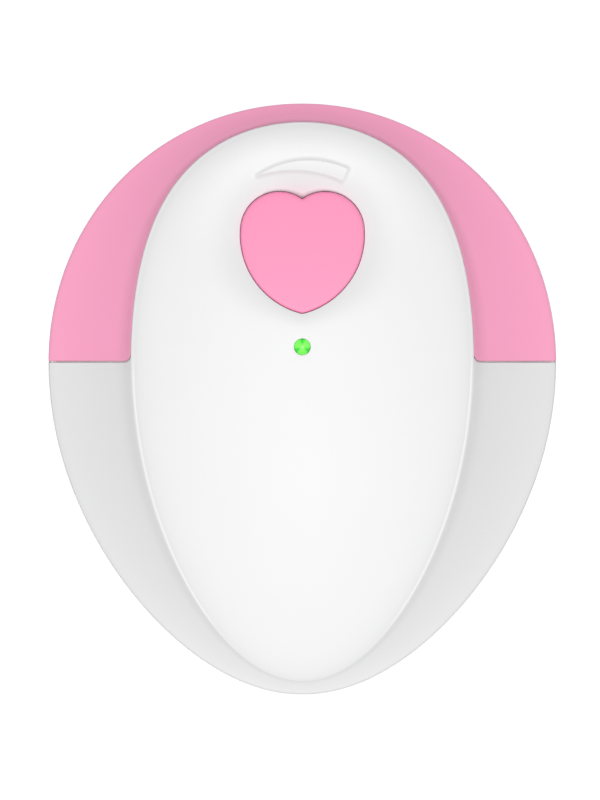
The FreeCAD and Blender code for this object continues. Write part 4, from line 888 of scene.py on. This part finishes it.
outer_rows = bowl(np.radians(np.linspace(LINE_TURN, 90, BOWL_ROWS[0])), 0)
inner_rows = bowl(np.radians(np.linspace(0, 90, BOWL_ROWS[1])), FLOOR_SKIN)
lip_top = [case_ring(LINE_DEPTH, PARTING_Z), case_ring(LINE_DEPTH, PARTING_Z - LINE_H),
           case_ring(LINE_EDGE, PARTING_Z - LINE_H), outer_rows[0]]
rear = welded("rear_shell", [grid(np.stack(lip_top)), grid(outer_rows), cap(outer_rows[-1]),
                             grid(inner_rows), cap(inner_rows[-1]),
                             grid(np.stack([inner_rows[0], lip_top[0]]))])

root, outside, inward = LIP_INSETS
lip = [case_ring(inset, z) for inset, z in ((root, SHELF_Z), (outside, SHELF_Z), (outside, LIP_Z[1]),
                                            (inward, LIP_Z[1]), (inward, LIP_Z[0]), (root, LIP_Z[0]))]
ring_foot = [(RING_R + out, z) for out, z in RING_EDGE] + [(RING_BORE_R, RING_EDGE[-1][1])]
ring = [(RING_BORE_R, RING_TOP), (RING_R, RING_TOP)] + ring_foot + [(RING_BORE_R, RING_TOP)]
screw_x, screw_y = egg(OUTLINE, SCREW_INSET, SCREW_TAUS)
screw_spots = list(zip(screw_x.tolist(), screw_y.tolist()))
added = [block((-PLATEAU_HALF, PLATEAU_HALF), PLATEAU_Y, (0, BELLY_Z + FLOOR_SKIN), PLATEAU_R,
               PLATEAU_EDGE_R),
         turned("ring", ring, (0, PROBE_Y, 0), count=ROUND_STEPS),
         block((BAY_X[0] - BAY_WALL, BAY_X[1] + BAY_WALL), (BAY_Y[0] - BAY_WALL, BAY_Y[1] + BAY_WALL),
               (BELLY_Z + 1, BAY_TOP + BAY_WALL), BAY_CORNER_R),
         welded("lip", [grid(np.stack(lip + lip[:1]))])]
added += [shaft(x, y, [(PILLAR_R, z) for z in PILLAR_Z]) for x, y in screw_spots]
combined(rear, added, "UNION")

door_room, door_start = DOOR_HALF + DOOR_FIT, DOOR_Y[0] - DOOR_FIT
removed = [block((-door_room, door_room), (door_start, END_Y), (-1, TONGUE_ROOM_Z[1])),
           block((-door_room - TONGUE_W, door_room + TONGUE_W), (door_start, END_Y), TONGUE_ROOM_Z),
           block((-END_ROOM_HALF, END_ROOM_HALF), (door_start - TONGUE_W, DOOR_Y[0]), TONGUE_ROOM_Z),
           block(BAY_X, BAY_Y, (-1, BAY_TOP)),
           block(*LEAD_SLOT, (BAY_TOP - 1, BAY_TOP + BAY_WALL + 1)),
           block(*WHEEL_ROOM),
           shaft(0, PROBE_Y, [(WINDOW_R + out, z) for out, z in WINDOW_SEAT], ROUND_STEPS),
           shaft(0, PROBE_Y, [(CARRIER_R, 0), (CARRIER_R, CARRIER_TOP)], ROUND_STEPS)]
for x, y in screw_spots:
    mouth = (SCREW_ROOM_R + SCREW_MOUTH[0], 0)
    removed.append(shaft(x, y, [mouth, (SCREW_ROOM_R, SCREW_MOUTH[1]), (SCREW_ROOM_R, SCREW_SEAT_Z)]))
    removed.append(shaft(x, y, [(SCREW_HOLE_R, SCREW_SEAT_Z - 1), (SCREW_HOLE_R, PARTING_Z + 1)]))
combined(rear, removed)

# White ABS from a spark-eroded tool: duller, with a grain that shows where light grazes it
rear_abs = moulded("textured_white_abs", "#ebebeb", "#e8e8e9", 0.55, 0.32, 0.014)
rear.data.materials.append(rear_abs)
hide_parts("rear_housing")
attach(rear, "case")


# ---- Battery door ---------------------------------------------------------------------------
# A flat white ABS lid with tongues on both sides and its inner end, and a fan of five grip grooves
# for the thumb that slides it off. They come from a node tree, each shorter than the one before.

GRIPS = {"Count": 5, "Step": -2.2 * MM, "Radius": 0.7 * MM, "Length": 18.0 * MM, "Taper": -1.8 * MM}
GRIP_SETBACK = 4.0              # of the first groove from the door's end
DOOR_CORNER_R = 1.0
DOOR_EDGE_R = 0.3
TONGUE_Z = (1.1, 1.9)
TONGUE_SETBACK = 2.0            # of the side tongues from both ends
END_TONGUE_HALF = 16.88


def node_tool(name, sizes):
    """A geometry node tree with a mesh going in and out and one named input for each size."""
    tree = bpy.data.node_groups.new(name, "GeometryNodeTree")
    tree.interface.new_socket("Geometry", in_out="INPUT", socket_type="NodeSocketGeometry")
    for label, value in sizes.items():
        kind = "NodeSocketInt" if isinstance(value, int) else "NodeSocketFloat"
        tree.interface.new_socket(label, in_out="INPUT", socket_type=kind)
    tree.interface.new_socket("Geometry", in_out="OUTPUT", socket_type="NodeSocketGeometry")
    return tree, add(tree, "NodeGroupInput", {}).outputs


def delivered(tree, shape, material):
    """Ends a tree: its instances made real and their material set."""
    real = add(tree, "GeometryNodeRealizeInstances", {"Geometry": shape})
    dressed = add(tree, "GeometryNodeSetMaterial", {"Geometry": real.outputs[0], "Material": material})
    add(tree, "NodeGroupOutput", {"Geometry": dressed.outputs[0]})


def worked(piece, tree, sizes, sharp=40):
    """The piece put through a node tree with these sizes, as a plain mesh."""
    change = piece.modifiers.new(tree.name, "NODES")
    change.node_group = tree
    for item in tree.interface.items_tree:
        if item.in_out == "INPUT" and item.name in sizes:
            change[item.identifier] = sizes[item.name]
    return baked(piece, sharp)


door = block((-DOOR_HALF, DOOR_HALF), DOOR_Y, (0, DOOR_T), DOOR_CORNER_R, DOOR_EDGE_R)
door.name = "door_lid"
tongues = [block((-DOOR_HALF - TONGUE_W, DOOR_HALF + TONGUE_W),
                 (DOOR_Y[0] + TONGUE_SETBACK, DOOR_Y[1] - TONGUE_SETBACK), TONGUE_Z),
           block((-END_TONGUE_HALF, END_TONGUE_HALF), (DOOR_Y[0] - TONGUE_W, DOOR_Y[0] + 1), TONGUE_Z)]
combined(door, tongues, "UNION")
tree, sizes = node_tool("grip_grooves", GRIPS)
start = (0, (DOOR_Y[1] - GRIP_SETBACK) * MM, 0)
step = add(tree, "ShaderNodeCombineXYZ", {"Y": sizes["Step"]})
row = add(tree, "GeometryNodeMeshLine",
          {"Count": sizes["Count"], "Start Location": start, "Offset": step.outputs[0]})
bar = add(tree, "GeometryNodeMeshCylinder", {"Vertices": 24, "Radius": sizes["Radius"], "Depth": 1.0})
place = add(tree, "GeometryNodeInputIndex", {})
length = add(tree, "ShaderNodeMath", {0: place.outputs[0], 1: sizes["Taper"], 2: sizes["Length"]},
             operation="MULTIPLY_ADD")
scale = add(tree, "ShaderNodeCombineXYZ", {"X": 1.0, "Y": 1.0, "Z": length.outputs[0]})
bars = add(tree, "GeometryNodeInstanceOnPoints", {"Points": row.outputs[0], "Instance": bar.outputs[0],
                                                  "Rotation": (0, math.pi / 2, 0), "Scale": scale.outputs[0]})
real = add(tree, "GeometryNodeRealizeInstances", {"Geometry": bars.outputs[0]})
cut = add(tree, "GeometryNodeMeshBoolean", {"Mesh 1": sizes["Geometry"], "Mesh 2": real.outputs[0]},
          operation="DIFFERENCE", solver="EXACT")
delivered(tree, cut.outputs["Mesh"], rear_abs)
worked(door, tree, GRIPS)
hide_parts("battery_door")
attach(door, "door")


# ---- Volume wheel ---------------------------------------------------------------------------
# A grey ABS thumbwheel with sunk faces and forty rounded ribs round its rim. One screw holds it on
# the spindle of its control, and its rim stands out of the crown's slot.

RIB_RISE = 0.3
RIB_SHORT = 0.3                 # how much shorter the ribs are than the wheel is thick
rim_r = WHEEL_R - RIB_RISE
WHEEL = {"Ribs": 40, "Rim radius": rim_r * MM, "Rib radius": 0.36 * MM,
         "Thickness": (WHEEL_Z[1] - WHEEL_Z[0] - RIB_SHORT) * MM}
WHEEL_BORE_R = 1.56
HUB_R = 3.1
RIM_W = 2.1
SUNK = 0.8                      # depth of both faces between hub and rim
WHEEL_EDGE = 0.1
RIM_EDGE = 0.25

face = [(WHEEL_BORE_R, WHEEL_EDGE), (WHEEL_BORE_R + WHEEL_EDGE, 0), (HUB_R, 0), (HUB_R, SUNK),
        (rim_r - RIM_W, SUNK), (rim_r - RIM_W + WHEEL_EDGE, WHEEL_EDGE),
        (rim_r - RIM_W + 2 * WHEEL_EDGE, 0), (rim_r - RIM_EDGE, 0), (rim_r, RIM_EDGE)]
wheel_profile = [(radius, WHEEL_Z[0] + depth) for radius, depth in face]
wheel_profile += [(radius, WHEEL_Z[1] - depth) for radius, depth in face[::-1]]
wheel = turned("volume_thumbwheel", wheel_profile + wheel_profile[:1], (0, WHEEL_Y, 0), count=96)

# Grey ABS: plain and half matt, so that the ribs read by their shadows
grey_abs = moulded("grey_wheel_abs", "#b8b8ba", "#b3b3b5", 0.5, 0.3, 0.006)
tree, sizes = node_tool("wheel_ribs", WHEEL)
rib = add(tree, "GeometryNodeMeshCylinder",
          {"Vertices": 12, "Radius": sizes["Rib radius"], "Depth": sizes["Thickness"]})
circle = add(tree, "GeometryNodeMeshCircle", {"Vertices": sizes["Ribs"], "Radius": sizes["Rim radius"]})
moved = add(tree, "GeometryNodeTransform",
            {"Geometry": circle.outputs[0], "Translation": (0, WHEEL_Y * MM, WHEEL_MID_Z * MM)})
ribs = add(tree, "GeometryNodeInstanceOnPoints", {"Points": moved.outputs[0], "Instance": rib.outputs[0]})
whole = add(tree, "GeometryNodeJoinGeometry", {})
tree.links.new(ribs.outputs[0], whole.inputs[0])
tree.links.new(sizes["Geometry"], whole.inputs[0])
delivered(tree, whole.outputs[0], grey_abs)
worked(wheel, tree, WHEEL)
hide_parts("volume_wheel")
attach(wheel, "wheel")


# ---- Case screws ----------------------------------------------------------------------------
# Four zinc-plated self-tapping screws with cross recesses. They lie deep in the holes of the rear
# housing, with their heads to the back, and bite into the bosses of the front one.

SCREW = {"Head radius": 2.1 * MM, "Face radius": 1.512 * MM, "Head drop": -1.6 * MM, "Head height": 1.6 * MM,
         "Shank radius": 1.1 * MM, "Tip radius": 0.55 * MM, "Length": 8.5 * MM,
         "Recess length": 2.2 * MM, "Recess width": 0.55 * MM, "Recess height": 1.6 * MM}
SHANK_DROP = 0.2                # how far the shank reaches into the head
GLOSS_DRIFT = 0.08              # of the plating's roughness, up and down


def brushed(name, base, roughness, streak_mm):
    """Plated metal: fine drifts of gloss over a bright base."""
    material, tree, shader, place = surface(name)
    drift = add(tree, "ShaderNodeTexNoise", {"Vector": place, "Scale": 1 / (streak_mm * MM), "Detail": 4.0})
    gloss = add(tree, "ShaderNodeMapRange",
                {"Value": drift.outputs["Fac"], "To Min": roughness - GLOSS_DRIFT,
                 "To Max": roughness + GLOSS_DRIFT})
    tree.links.new(gloss.outputs["Result"], shader.inputs["Roughness"])
    shader.inputs["Base Color"].default_value = linear(base)
    shader.inputs["Metallic"].default_value = 1.0
    return material


# Zinc plate: a pale grey metal whose gloss drifts from spot to spot
zinc = brushed("zinc_plated_steel", "#c9cacc", 0.3, 0.4)
seats = bpy.data.meshes.new("case_screw_set")
seats.from_pydata([(x * MM, y * MM, SCREW_SEAT_Z * MM) for x, y in screw_spots], [], [])
screws = placed("case_screw_set", seats)
tree, sizes = node_tool("cross_screws", SCREW)
face = add(tree, "ShaderNodeCombineXYZ", {"Z": sizes["Head drop"]}).outputs[0]
head = add(tree, "GeometryNodeMeshCone",
           {"Vertices": 40, "Side Segments": 3, "Radius Top": sizes["Head radius"],
            "Radius Bottom": sizes["Face radius"], "Depth": sizes["Head height"]})
head = add(tree, "GeometryNodeTransform", {"Geometry": head.outputs["Mesh"], "Translation": face})
cut = add(tree, "GeometryNodeMeshBoolean", {"Mesh 1": head.outputs[0]},
          operation="DIFFERENCE", solver="EXACT")
for across, along in (("Recess length", "Recess width"), ("Recess width", "Recess length")):
    side = add(tree, "ShaderNodeCombineXYZ",
               {"X": sizes[across], "Y": sizes[along], "Z": sizes["Recess height"]})
    bar = add(tree, "GeometryNodeMeshCube", {"Size": side.outputs[0]})
    bar = add(tree, "GeometryNodeTransform", {"Geometry": bar.outputs["Mesh"], "Translation": face})
    tree.links.new(bar.outputs[0], cut.inputs["Mesh 2"])
shank = add(tree, "GeometryNodeMeshCone", {"Vertices": 24, "Radius Bottom": sizes["Shank radius"],
                                           "Radius Top": sizes["Tip radius"], "Depth": sizes["Length"]})
shank = add(tree, "GeometryNodeTransform",
            {"Geometry": shank.outputs["Mesh"], "Translation": (0, 0, -SHANK_DROP * MM)})
one = add(tree, "GeometryNodeJoinGeometry", {})
tree.links.new(cut.outputs["Mesh"], one.inputs[0])
tree.links.new(shank.outputs[0], one.inputs[0])
many = add(tree, "GeometryNodeInstanceOnPoints", {"Points": sizes["Geometry"], "Instance": one.outputs[0]})
delivered(tree, many.outputs[0], zinc)
worked(screws, tree, SCREW)
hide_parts("case_screws")
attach(screws, "case")


# ---- Headphone sockets ----------------------------------------------------------------------
# Two turned brass bushings, nickel-plated, that line the holes in the crown. Each is held by the
# nylon body of its jack behind it.

BUSHING_R = 2.8
BORE_R = 1.8
BUSHING_L = 7.8
BUSHING_EDGE = ((0.0, -0.2), (-0.06, -0.06), (-0.2, 0.0))       # radius added, height from the mouth
LEAD_IN = ((0.3, 0.0), (0.08, -0.1), (0.0, -0.35))

# Nickel plate: a warm bright metal, smoother than the zinc
nickel = brushed("nickel_plate", "#d3d0c8", 0.18, 0.9)
sleeve_line = [(BORE_R, -BUSHING_L), (BUSHING_R, -BUSHING_L)]
sleeve_line += [(BUSHING_R + out, height) for out, height in BUSHING_EDGE]
sleeve_line += [(BORE_R + out, height) for out, height in LEAD_IN] + [(BORE_R, -BUSHING_L)]
for side, (centre, axis) in zip(("right", "left"), JACKS):
    bushing = turned("bushing_" + side, sleeve_line, centre, axis, count=64)
    bushing.data.materials.append(nickel)
    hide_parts("jack_bushing_" + side)
    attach(bushing, "case")


# ---- Headphone jacks ------------------------------------------------------------------------
# The black nylon bodies behind the sockets, soldered to the board by nickel-plated pins. Down each
# socket the eye meets their dull, evenly moulded black.


def dressed(material, *nodes):
    """Gives parts that keep their own form a finish."""
    for node in nodes:
        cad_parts[node].material_slots[0].material = material


def finished(node, material, body="case", sharp=32):
    """A part's own form as one skin, smooth over its curves, in place of its loose facets."""
    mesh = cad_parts[node].data.copy()
    mesh.materials.clear()
    mesh.materials.append(material)
    shape = bmesh.new()
    shape.from_mesh(mesh)
    bmesh.ops.remove_doubles(shape, verts=shape.verts, dist=1e-6)
    shape.to_mesh(mesh)
    shape.free()
    piece = smoothed(placed(node + "_form", mesh), sharp)
    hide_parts(node)
    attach(piece, body)
    return piece


# Moulded nylon: near black, half matt and faintly grained
black_nylon = moulded("black_moulded_nylon", "#17171a", "#1d1d20", 0.5, 0.3, 0.006)
for side in ("left", "right"):
    finished("headphone_jack_" + side, black_nylon)
dressed(nickel, "jack_pins")


# ---- Key and wheel works --------------------------------------------------------------------
# Under the key its plunger and push switch, beside them the light's spacer, and over the wheel its
# rotary control, spindle and screw. All are black moulded nylon but for the screw, which is
# zinc-plated like the four on the board.

dressed(black_nylon, "switch_plunger", "power_switch", "led_spacer", "wheel_spindle", "volume_pot")
dressed(zinc, "wheel_screw", "board_screws")


# ---- Battery --------------------------------------------------------------------------------
# A 9 V block in a plain lacquered steel jacket, its snap connector in soft black vinyl and the foam
# pad that keeps it from rattling. They fill the bay under the door.

SHADE_MM = 5.0                  # size of the drifts of colour in soft goods
DRAW_STRETCH = 0.04             # how far the draw lines' noise is squeezed along them


def soft(name, base, shade, cell_mm, depth_mm, roughness):
    """Soft goods: a slow drift of colour over fine cells or pores, with no clear highlight."""
    material, tree, shader, place = surface(name)
    drift = add(tree, "ShaderNodeTexNoise", {"Vector": place, "Scale": 1 / (SHADE_MM * MM), "Detail": 3.0})
    tint = add(tree, "ShaderNodeMix", {0: drift.outputs["Fac"], 6: linear(base), 7: linear(shade)},
               data_type="RGBA")
    cells = add(tree, "ShaderNodeTexVoronoi", {"Vector": place, "Scale": 1 / (cell_mm * MM)})
    bump = add(tree, "ShaderNodeBump",
               {"Height": cells.outputs["Distance"], "Strength": 0.8, "Distance": depth_mm * MM})
    tree.links.new(tint.outputs[2], shader.inputs["Base Color"])
    tree.links.new(bump.outputs["Normal"], shader.inputs["Normal"])
    shader.inputs["Roughness"].default_value = roughness
    return material


def lacquered(name, base, shade, streak_mm, roughness):
    """Drawn steel under clear coloured lacquer: long faint draw lines below an even gloss."""
    material, tree, shader, place = surface(name)
    along = add(tree, "ShaderNodeMapping", {"Vector": place, "Scale": (DRAW_STRETCH, 1.0, 1.0)})
    lines = add(tree, "ShaderNodeTexNoise",
                {"Vector": along.outputs["Vector"], "Scale": 1 / (streak_mm * MM), "Detail": 3.0})
    tint = add(tree, "ShaderNodeMix", {0: lines.outputs["Fac"], 6: linear(base), 7: linear(shade)},
               data_type="RGBA")
    tree.links.new(tint.outputs[2], shader.inputs["Base Color"])
    shader.inputs["Metallic"].default_value = 0.6
    shader.inputs["Roughness"].default_value = roughness
    shader.inputs["Coat Weight"].default_value = 0.5
    shader.inputs["Coat Roughness"].default_value = 0.15
    return material


# Lacquered steel: a dark blue-grey with faint draw lines under a clear gloss
jacket = lacquered("lacquered_steel_jacket", "#2c3038", "#383d47", 0.6, 0.38)

# Soft vinyl: dull black, finely pored and without a clear highlight; one lead has it in red
vinyl = soft("soft_black_vinyl", "#141414", "#1c1c1c", 0.35, 0.01, 0.6)
red_vinyl = soft("red_lead_vinyl", "#b3150f", "#a31410", 0.35, 0.006, 0.45)

# Closed-cell foam: dark grey, pitted and quite matt
foam = soft("closed_cell_foam", "#2f2f31", "#3a3a3d", 0.5, 0.12, 0.9)
for node, material, slot in (("battery", jacket, "battery_jacket"), ("battery_studs", nickel, "nickel"),
                             ("battery_snap", vinyl, "black_vinyl"), ("snap_contacts", nickel, "nickel"),
                             ("battery_pad", foam, "foam"), ("battery_lead_red", red_vinyl, "red_pvc"),
                             ("battery_lead_black", vinyl, "black_vinyl")):
    finished(node, material)


# ---- Probe works ----------------------------------------------------------------------------
# Behind the window two silvered half discs of piezo ceramic, one that sends and one that listens,
# with foam between and behind them in a nylon carrier, a silicone ring and two screened leads.

# Silver fired on ceramic: pale and half matt, with a faint glaze
silver = lacquered("silvered_ceramic", "#c9c9c4", "#bdbdb8", 0.4, 0.35)

# Silicone and the leads' vinyl: plain pale and mid grey, dull and soft to look at
silicone = soft("soft_silicone", "#c0c2c6", "#b8babf", 0.8, 0.004, 0.5)
lead_jacket = soft("grey_lead_vinyl", "#737375", "#6b6b6e", 0.4, 0.006, 0.5)
dressed(black_nylon, "probe_carrier")
dressed(foam, "probe_divider", "probe_backing")
dressed(silver, "transmit_crystal", "receive_crystal")
dressed(silicone, "probe_gasket")
dressed(lead_jacket, "probe_lead_transmit", "probe_lead_receive")


# ---- Main board -----------------------------------------------------------------------------
# Glass laminate under green solder mask, through which its weave and its copper just show, with
# chips in black epoxy, sleeved capacitors and tinned cans.

WEAVE_MM = 0.6                  # one thread of the glass cloth
TRACK_GRID_MM = 5.2             # from one copper track to the next
MASK_STEP_MM = 0.03             # how far the mask rises over copper

# Solder mask: deep green and half glossy, paler and a little raised where it runs over copper
mask_green, tree, shader, place = surface("solder_masked_laminate")
weave = add(tree, "ShaderNodeTexChecker", {"Vector": place, "Scale": 1 / (WEAVE_MM * MM)})
tracks = add(tree, "ShaderNodeTexBrick",
             {"Vector": place, "Color1": (0, 0, 0, 1), "Color2": (0.25, 0.25, 0.25, 1),
              "Mortar": (1, 1, 1, 1), "Scale": 1 / (TRACK_GRID_MM * MM), "Mortar Size": 0.03})
cloth = add(tree, "ShaderNodeMix", {0: weave.outputs["Fac"], 6: linear("#14532b"), 7: linear("#175a2f")},
            data_type="RGBA")
tint = add(tree, "ShaderNodeMix", {0: tracks.outputs["Color"], 6: cloth.outputs[2], 7: linear("#2a7a3f")},
           data_type="RGBA")
bump = add(tree, "ShaderNodeBump",
           {"Height": tracks.outputs["Color"], "Strength": 0.6, "Distance": MASK_STEP_MM * MM})
tree.links.new(tint.outputs[2], shader.inputs["Base Color"])
tree.links.new(bump.outputs["Normal"], shader.inputs["Normal"])
shader.inputs["Roughness"].default_value = 0.35

# Chip epoxy: flat near black. Shrunk sleeve: dark blue, glossy and slightly wavy
chip_epoxy = moulded("moulded_chip_epoxy", "#121213", "#19191a", 0.6, 0.15, 0.008)
sleeve = moulded("shrunk_capacitor_sleeve", "#161c38", "#1b2242", 0.3, 1.5, 0.01)
dressed(mask_green, "main_board")
dressed(chip_epoxy, "signal_chip", "audio_chip")
dressed(sleeve, "filter_capacitors")
dressed(nickel, "clock_crystal", "tuning_coils")


# ---- Status light ---------------------------------------------------------------------------
# A 3 mm light moulded in clear green epoxy, lit, and held up to its hole by a spacer on the board.
# The die and its cup show through the lens as three darker spokes.

LED_R = 1.33
LED_LENGTH = 5.5
FLANGE_W = 0.45
FLANGE_T = 1.0
SPOKES = 3
SPOKE_START = 0.15              # radii between which the spokes come up
SPOKE_FULL = 0.8

foot = LED_HIGH.z - LED_LENGTH
lens = [(0, foot), (LED_R + FLANGE_W, foot), (LED_R + FLANGE_W, foot + FLANGE_T), (LED_R, foot + FLANGE_T)]
for turn in np.linspace(0, math.pi / 2, 12):
    lens.append((LED_R * math.cos(turn), LED_HIGH.z - LED_R + LED_R * math.sin(turn)))
light = turned("status_lens", lens, (0, LED_Y, 0), count=64)

# Lit epoxy: a bright even green, a third darker in the spokes
material, tree, shader, place = surface("lit_green_epoxy")
flat = add(tree, "ShaderNodeMapping", {"Vector": place, "Location": (0, -LED_Y * MM, 0), "Scale": (1, 1, 0)})
sides = add(tree, "ShaderNodeSeparateXYZ", {"Vector": flat.outputs["Vector"]})
angle = add(tree, "ShaderNodeMath", {0: sides.outputs["Y"], 1: sides.outputs["X"]}, operation="ARCTAN2")
turn = add(tree, "ShaderNodeMath", {0: angle.outputs[0], 1: -SPOKES}, operation="MULTIPLY")
spoke = add(tree, "ShaderNodeMath", {0: turn.outputs[0]}, operation="SINE", use_clamp=True)
radius = add(tree, "ShaderNodeVectorMath", {0: flat.outputs["Vector"]}, operation="LENGTH")
reach = add(tree, "ShaderNodeMapRange", {"Value": radius.outputs["Value"], "From Min": SPOKE_START * MM,
                                         "From Max": SPOKE_FULL * MM})
mask = add(tree, "ShaderNodeMath", {0: spoke.outputs[0], 1: reach.outputs["Result"]}, operation="MULTIPLY")
glow = add(tree, "ShaderNodeMix", {0: mask.outputs[0], 6: linear("#74e458"), 7: linear("#3cbb3a")},
           data_type="RGBA")
tree.links.new(glow.outputs[2], shader.inputs["Emission Color"])
tree.links.new(glow.outputs[2], shader.inputs["Base Color"])
shader.inputs["Emission Strength"].default_value = 0.55
shader.inputs["Roughness"].default_value = 0.3
light.data.materials.append(material)
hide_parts("status_led")
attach(light, "case")


# ---- Probe window ---------------------------------------------------------------------------
# The face of the ultrasound probe: a cast and polished disc of filled epoxy, set in its ring on a
# gasket, a little proud of the case.

FACE_EDGE = ((0.0, 0.35), (-0.1, 0.12), (-0.35, 0.0))   # radius added, height
HAZE_MM = 6.0

face_low, face_high = [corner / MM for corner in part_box("probe_window")]
face_r = (face_high.x - face_low.x) / 2
disc = [(0, face_high.z), (face_r, face_high.z)] + [(face_r + out, z) for out, z in FACE_EDGE] + [(0, 0)]
window = turned("probe_face", disc, (0, PROBE_Y, 0), count=ROUND_STEPS)

# Polished epoxy: pale grey and faintly clouded, with a clear reflection
material, tree, shader, place = surface("polished_epoxy")
haze = add(tree, "ShaderNodeTexNoise", {"Vector": place, "Scale": 1 / (HAZE_MM * MM), "Detail": 3.0})
tint = add(tree, "ShaderNodeMix", {0: haze.outputs["Fac"], 6: linear("#dcdcdf"), 7: linear("#d3d3d8")},
           data_type="RGBA")
tree.links.new(tint.outputs[2], shader.inputs["Base Color"])
shader.inputs["Roughness"].default_value = 0.12
shader.inputs["Coat Weight"].default_value = 0.4
window.data.materials.append(material)
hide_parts("probe_window")
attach(window, "case")


# ---- Studio ---------------------------------------------------------------------------------
# A sheet of white paper on the table, an even white surround and one soft square lamp high above
# the narrow end. The camera looks straight down on the front from far off.

PIXEL_SCALE = 0.177             # millimetres of the case across one pixel of the render
PIXEL_ROWS = 800                # from its top to its bottom
SCALE_Z = 20.0                  # height at which that scale holds
VIEW_CENTRE = (-0.41, -0.18)
LENS = 1200.0
SENSOR = 36.0                   # spans the longer side of the render
TABLE_HALF = 3000.0
TABLE_Z = -0.1                  # just clear of the battery door and the probe's ring
PAPER_GLOW = 1.15               # what the paper shows to the eye, in place of its own matt white
PAPER_GLOW_SHARE = 0.85
SURROUND = 0.22                 # strength of the light that it sheds on the case
LAMP_PLACE = (0.0, -90.0, 900.0)
LAMP_SIZE = 450.0
LAMP_POWER = 6.9

floor = placed("table_top", bpy.data.meshes.new("table_top"))
corners = [Vector((x * TABLE_HALF, y * TABLE_HALF, TABLE_Z)) * MM
           for x, y in ((-1, -1), (1, -1), (1, 1), (-1, 1))]
floor.data.from_pydata(corners, [], [(0, 1, 2, 3)])

# White paper: seen, it is plain white; what it throws back on the case is that of matt paper
paper = bpy.data.materials.new("white_paper")
paper.use_nodes = True
tree = paper.node_tree
tree.nodes.clear()
rays = add(tree, "ShaderNodeLightPath", {})
seen = add(tree, "ShaderNodeMath", {0: rays.outputs["Is Camera Ray"], 1: rays.outputs["Is Glossy Ray"]},
           operation="MAXIMUM")
seen = add(tree, "ShaderNodeMath", {0: seen.outputs[0], 1: rays.outputs["Is Transmission Ray"]},
           operation="MAXIMUM")
weight = add(tree, "ShaderNodeMath", {0: seen.outputs[0], 1: PAPER_GLOW_SHARE}, operation="MULTIPLY")
matt = add(tree, "ShaderNodeBsdfDiffuse", {"Color": linear("#f4f4f4")})
glow = add(tree, "ShaderNodeEmission", {"Color": (1, 1, 1, 1), "Strength": PAPER_GLOW})
mix = add(tree, "ShaderNodeMixShader", {0: weight.outputs[0], 1: matt.outputs[0], 2: glow.outputs[0]})
add(tree, "ShaderNodeOutputMaterial", {"Surface": mix.outputs[0]})
floor.data.materials.append(paper)

world = bpy.data.worlds.new("surround")
bpy.context.scene.world = world
world.use_nodes = True
tree = world.node_tree
tree.nodes.clear()
rays = add(tree, "ShaderNodeLightPath", {})
level = add(tree, "ShaderNodeMapRange",
            {"Value": rays.outputs["Is Camera Ray"], "To Min": SURROUND, "To Max": 1.0})
shine = add(tree, "ShaderNodeBackground", {"Color": (1, 1, 1, 1), "Strength": level.outputs["Result"]})
add(tree, "ShaderNodeOutputWorld", {"Surface": shine.outputs[0]})

lamp_data = bpy.data.lights.new("softbox", "AREA")
lamp_data.size = LAMP_SIZE * MM
lamp_data.energy = LAMP_POWER
lamp = bpy.data.objects.new("softbox", lamp_data)
lamp.location = Vector(LAMP_PLACE) * MM
bpy.context.scene.collection.objects.link(lamp)

camera_data = bpy.data.cameras.new("camera")
camera_data.lens = LENS
camera_data.sensor_width = SENSOR
camera_data.sensor_fit = "AUTO"
camera = bpy.data.objects.new("camera", camera_data)
view_height = PIXEL_SCALE * PIXEL_ROWS
camera.location = Vector((*VIEW_CENTRE, SCALE_Z + view_height * LENS / SENSOR)) * MM
bpy.context.scene.collection.objects.link(camera)
bpy.context.scene.camera = camera
bpy.context.scene.view_settings.view_transform = "Standard"
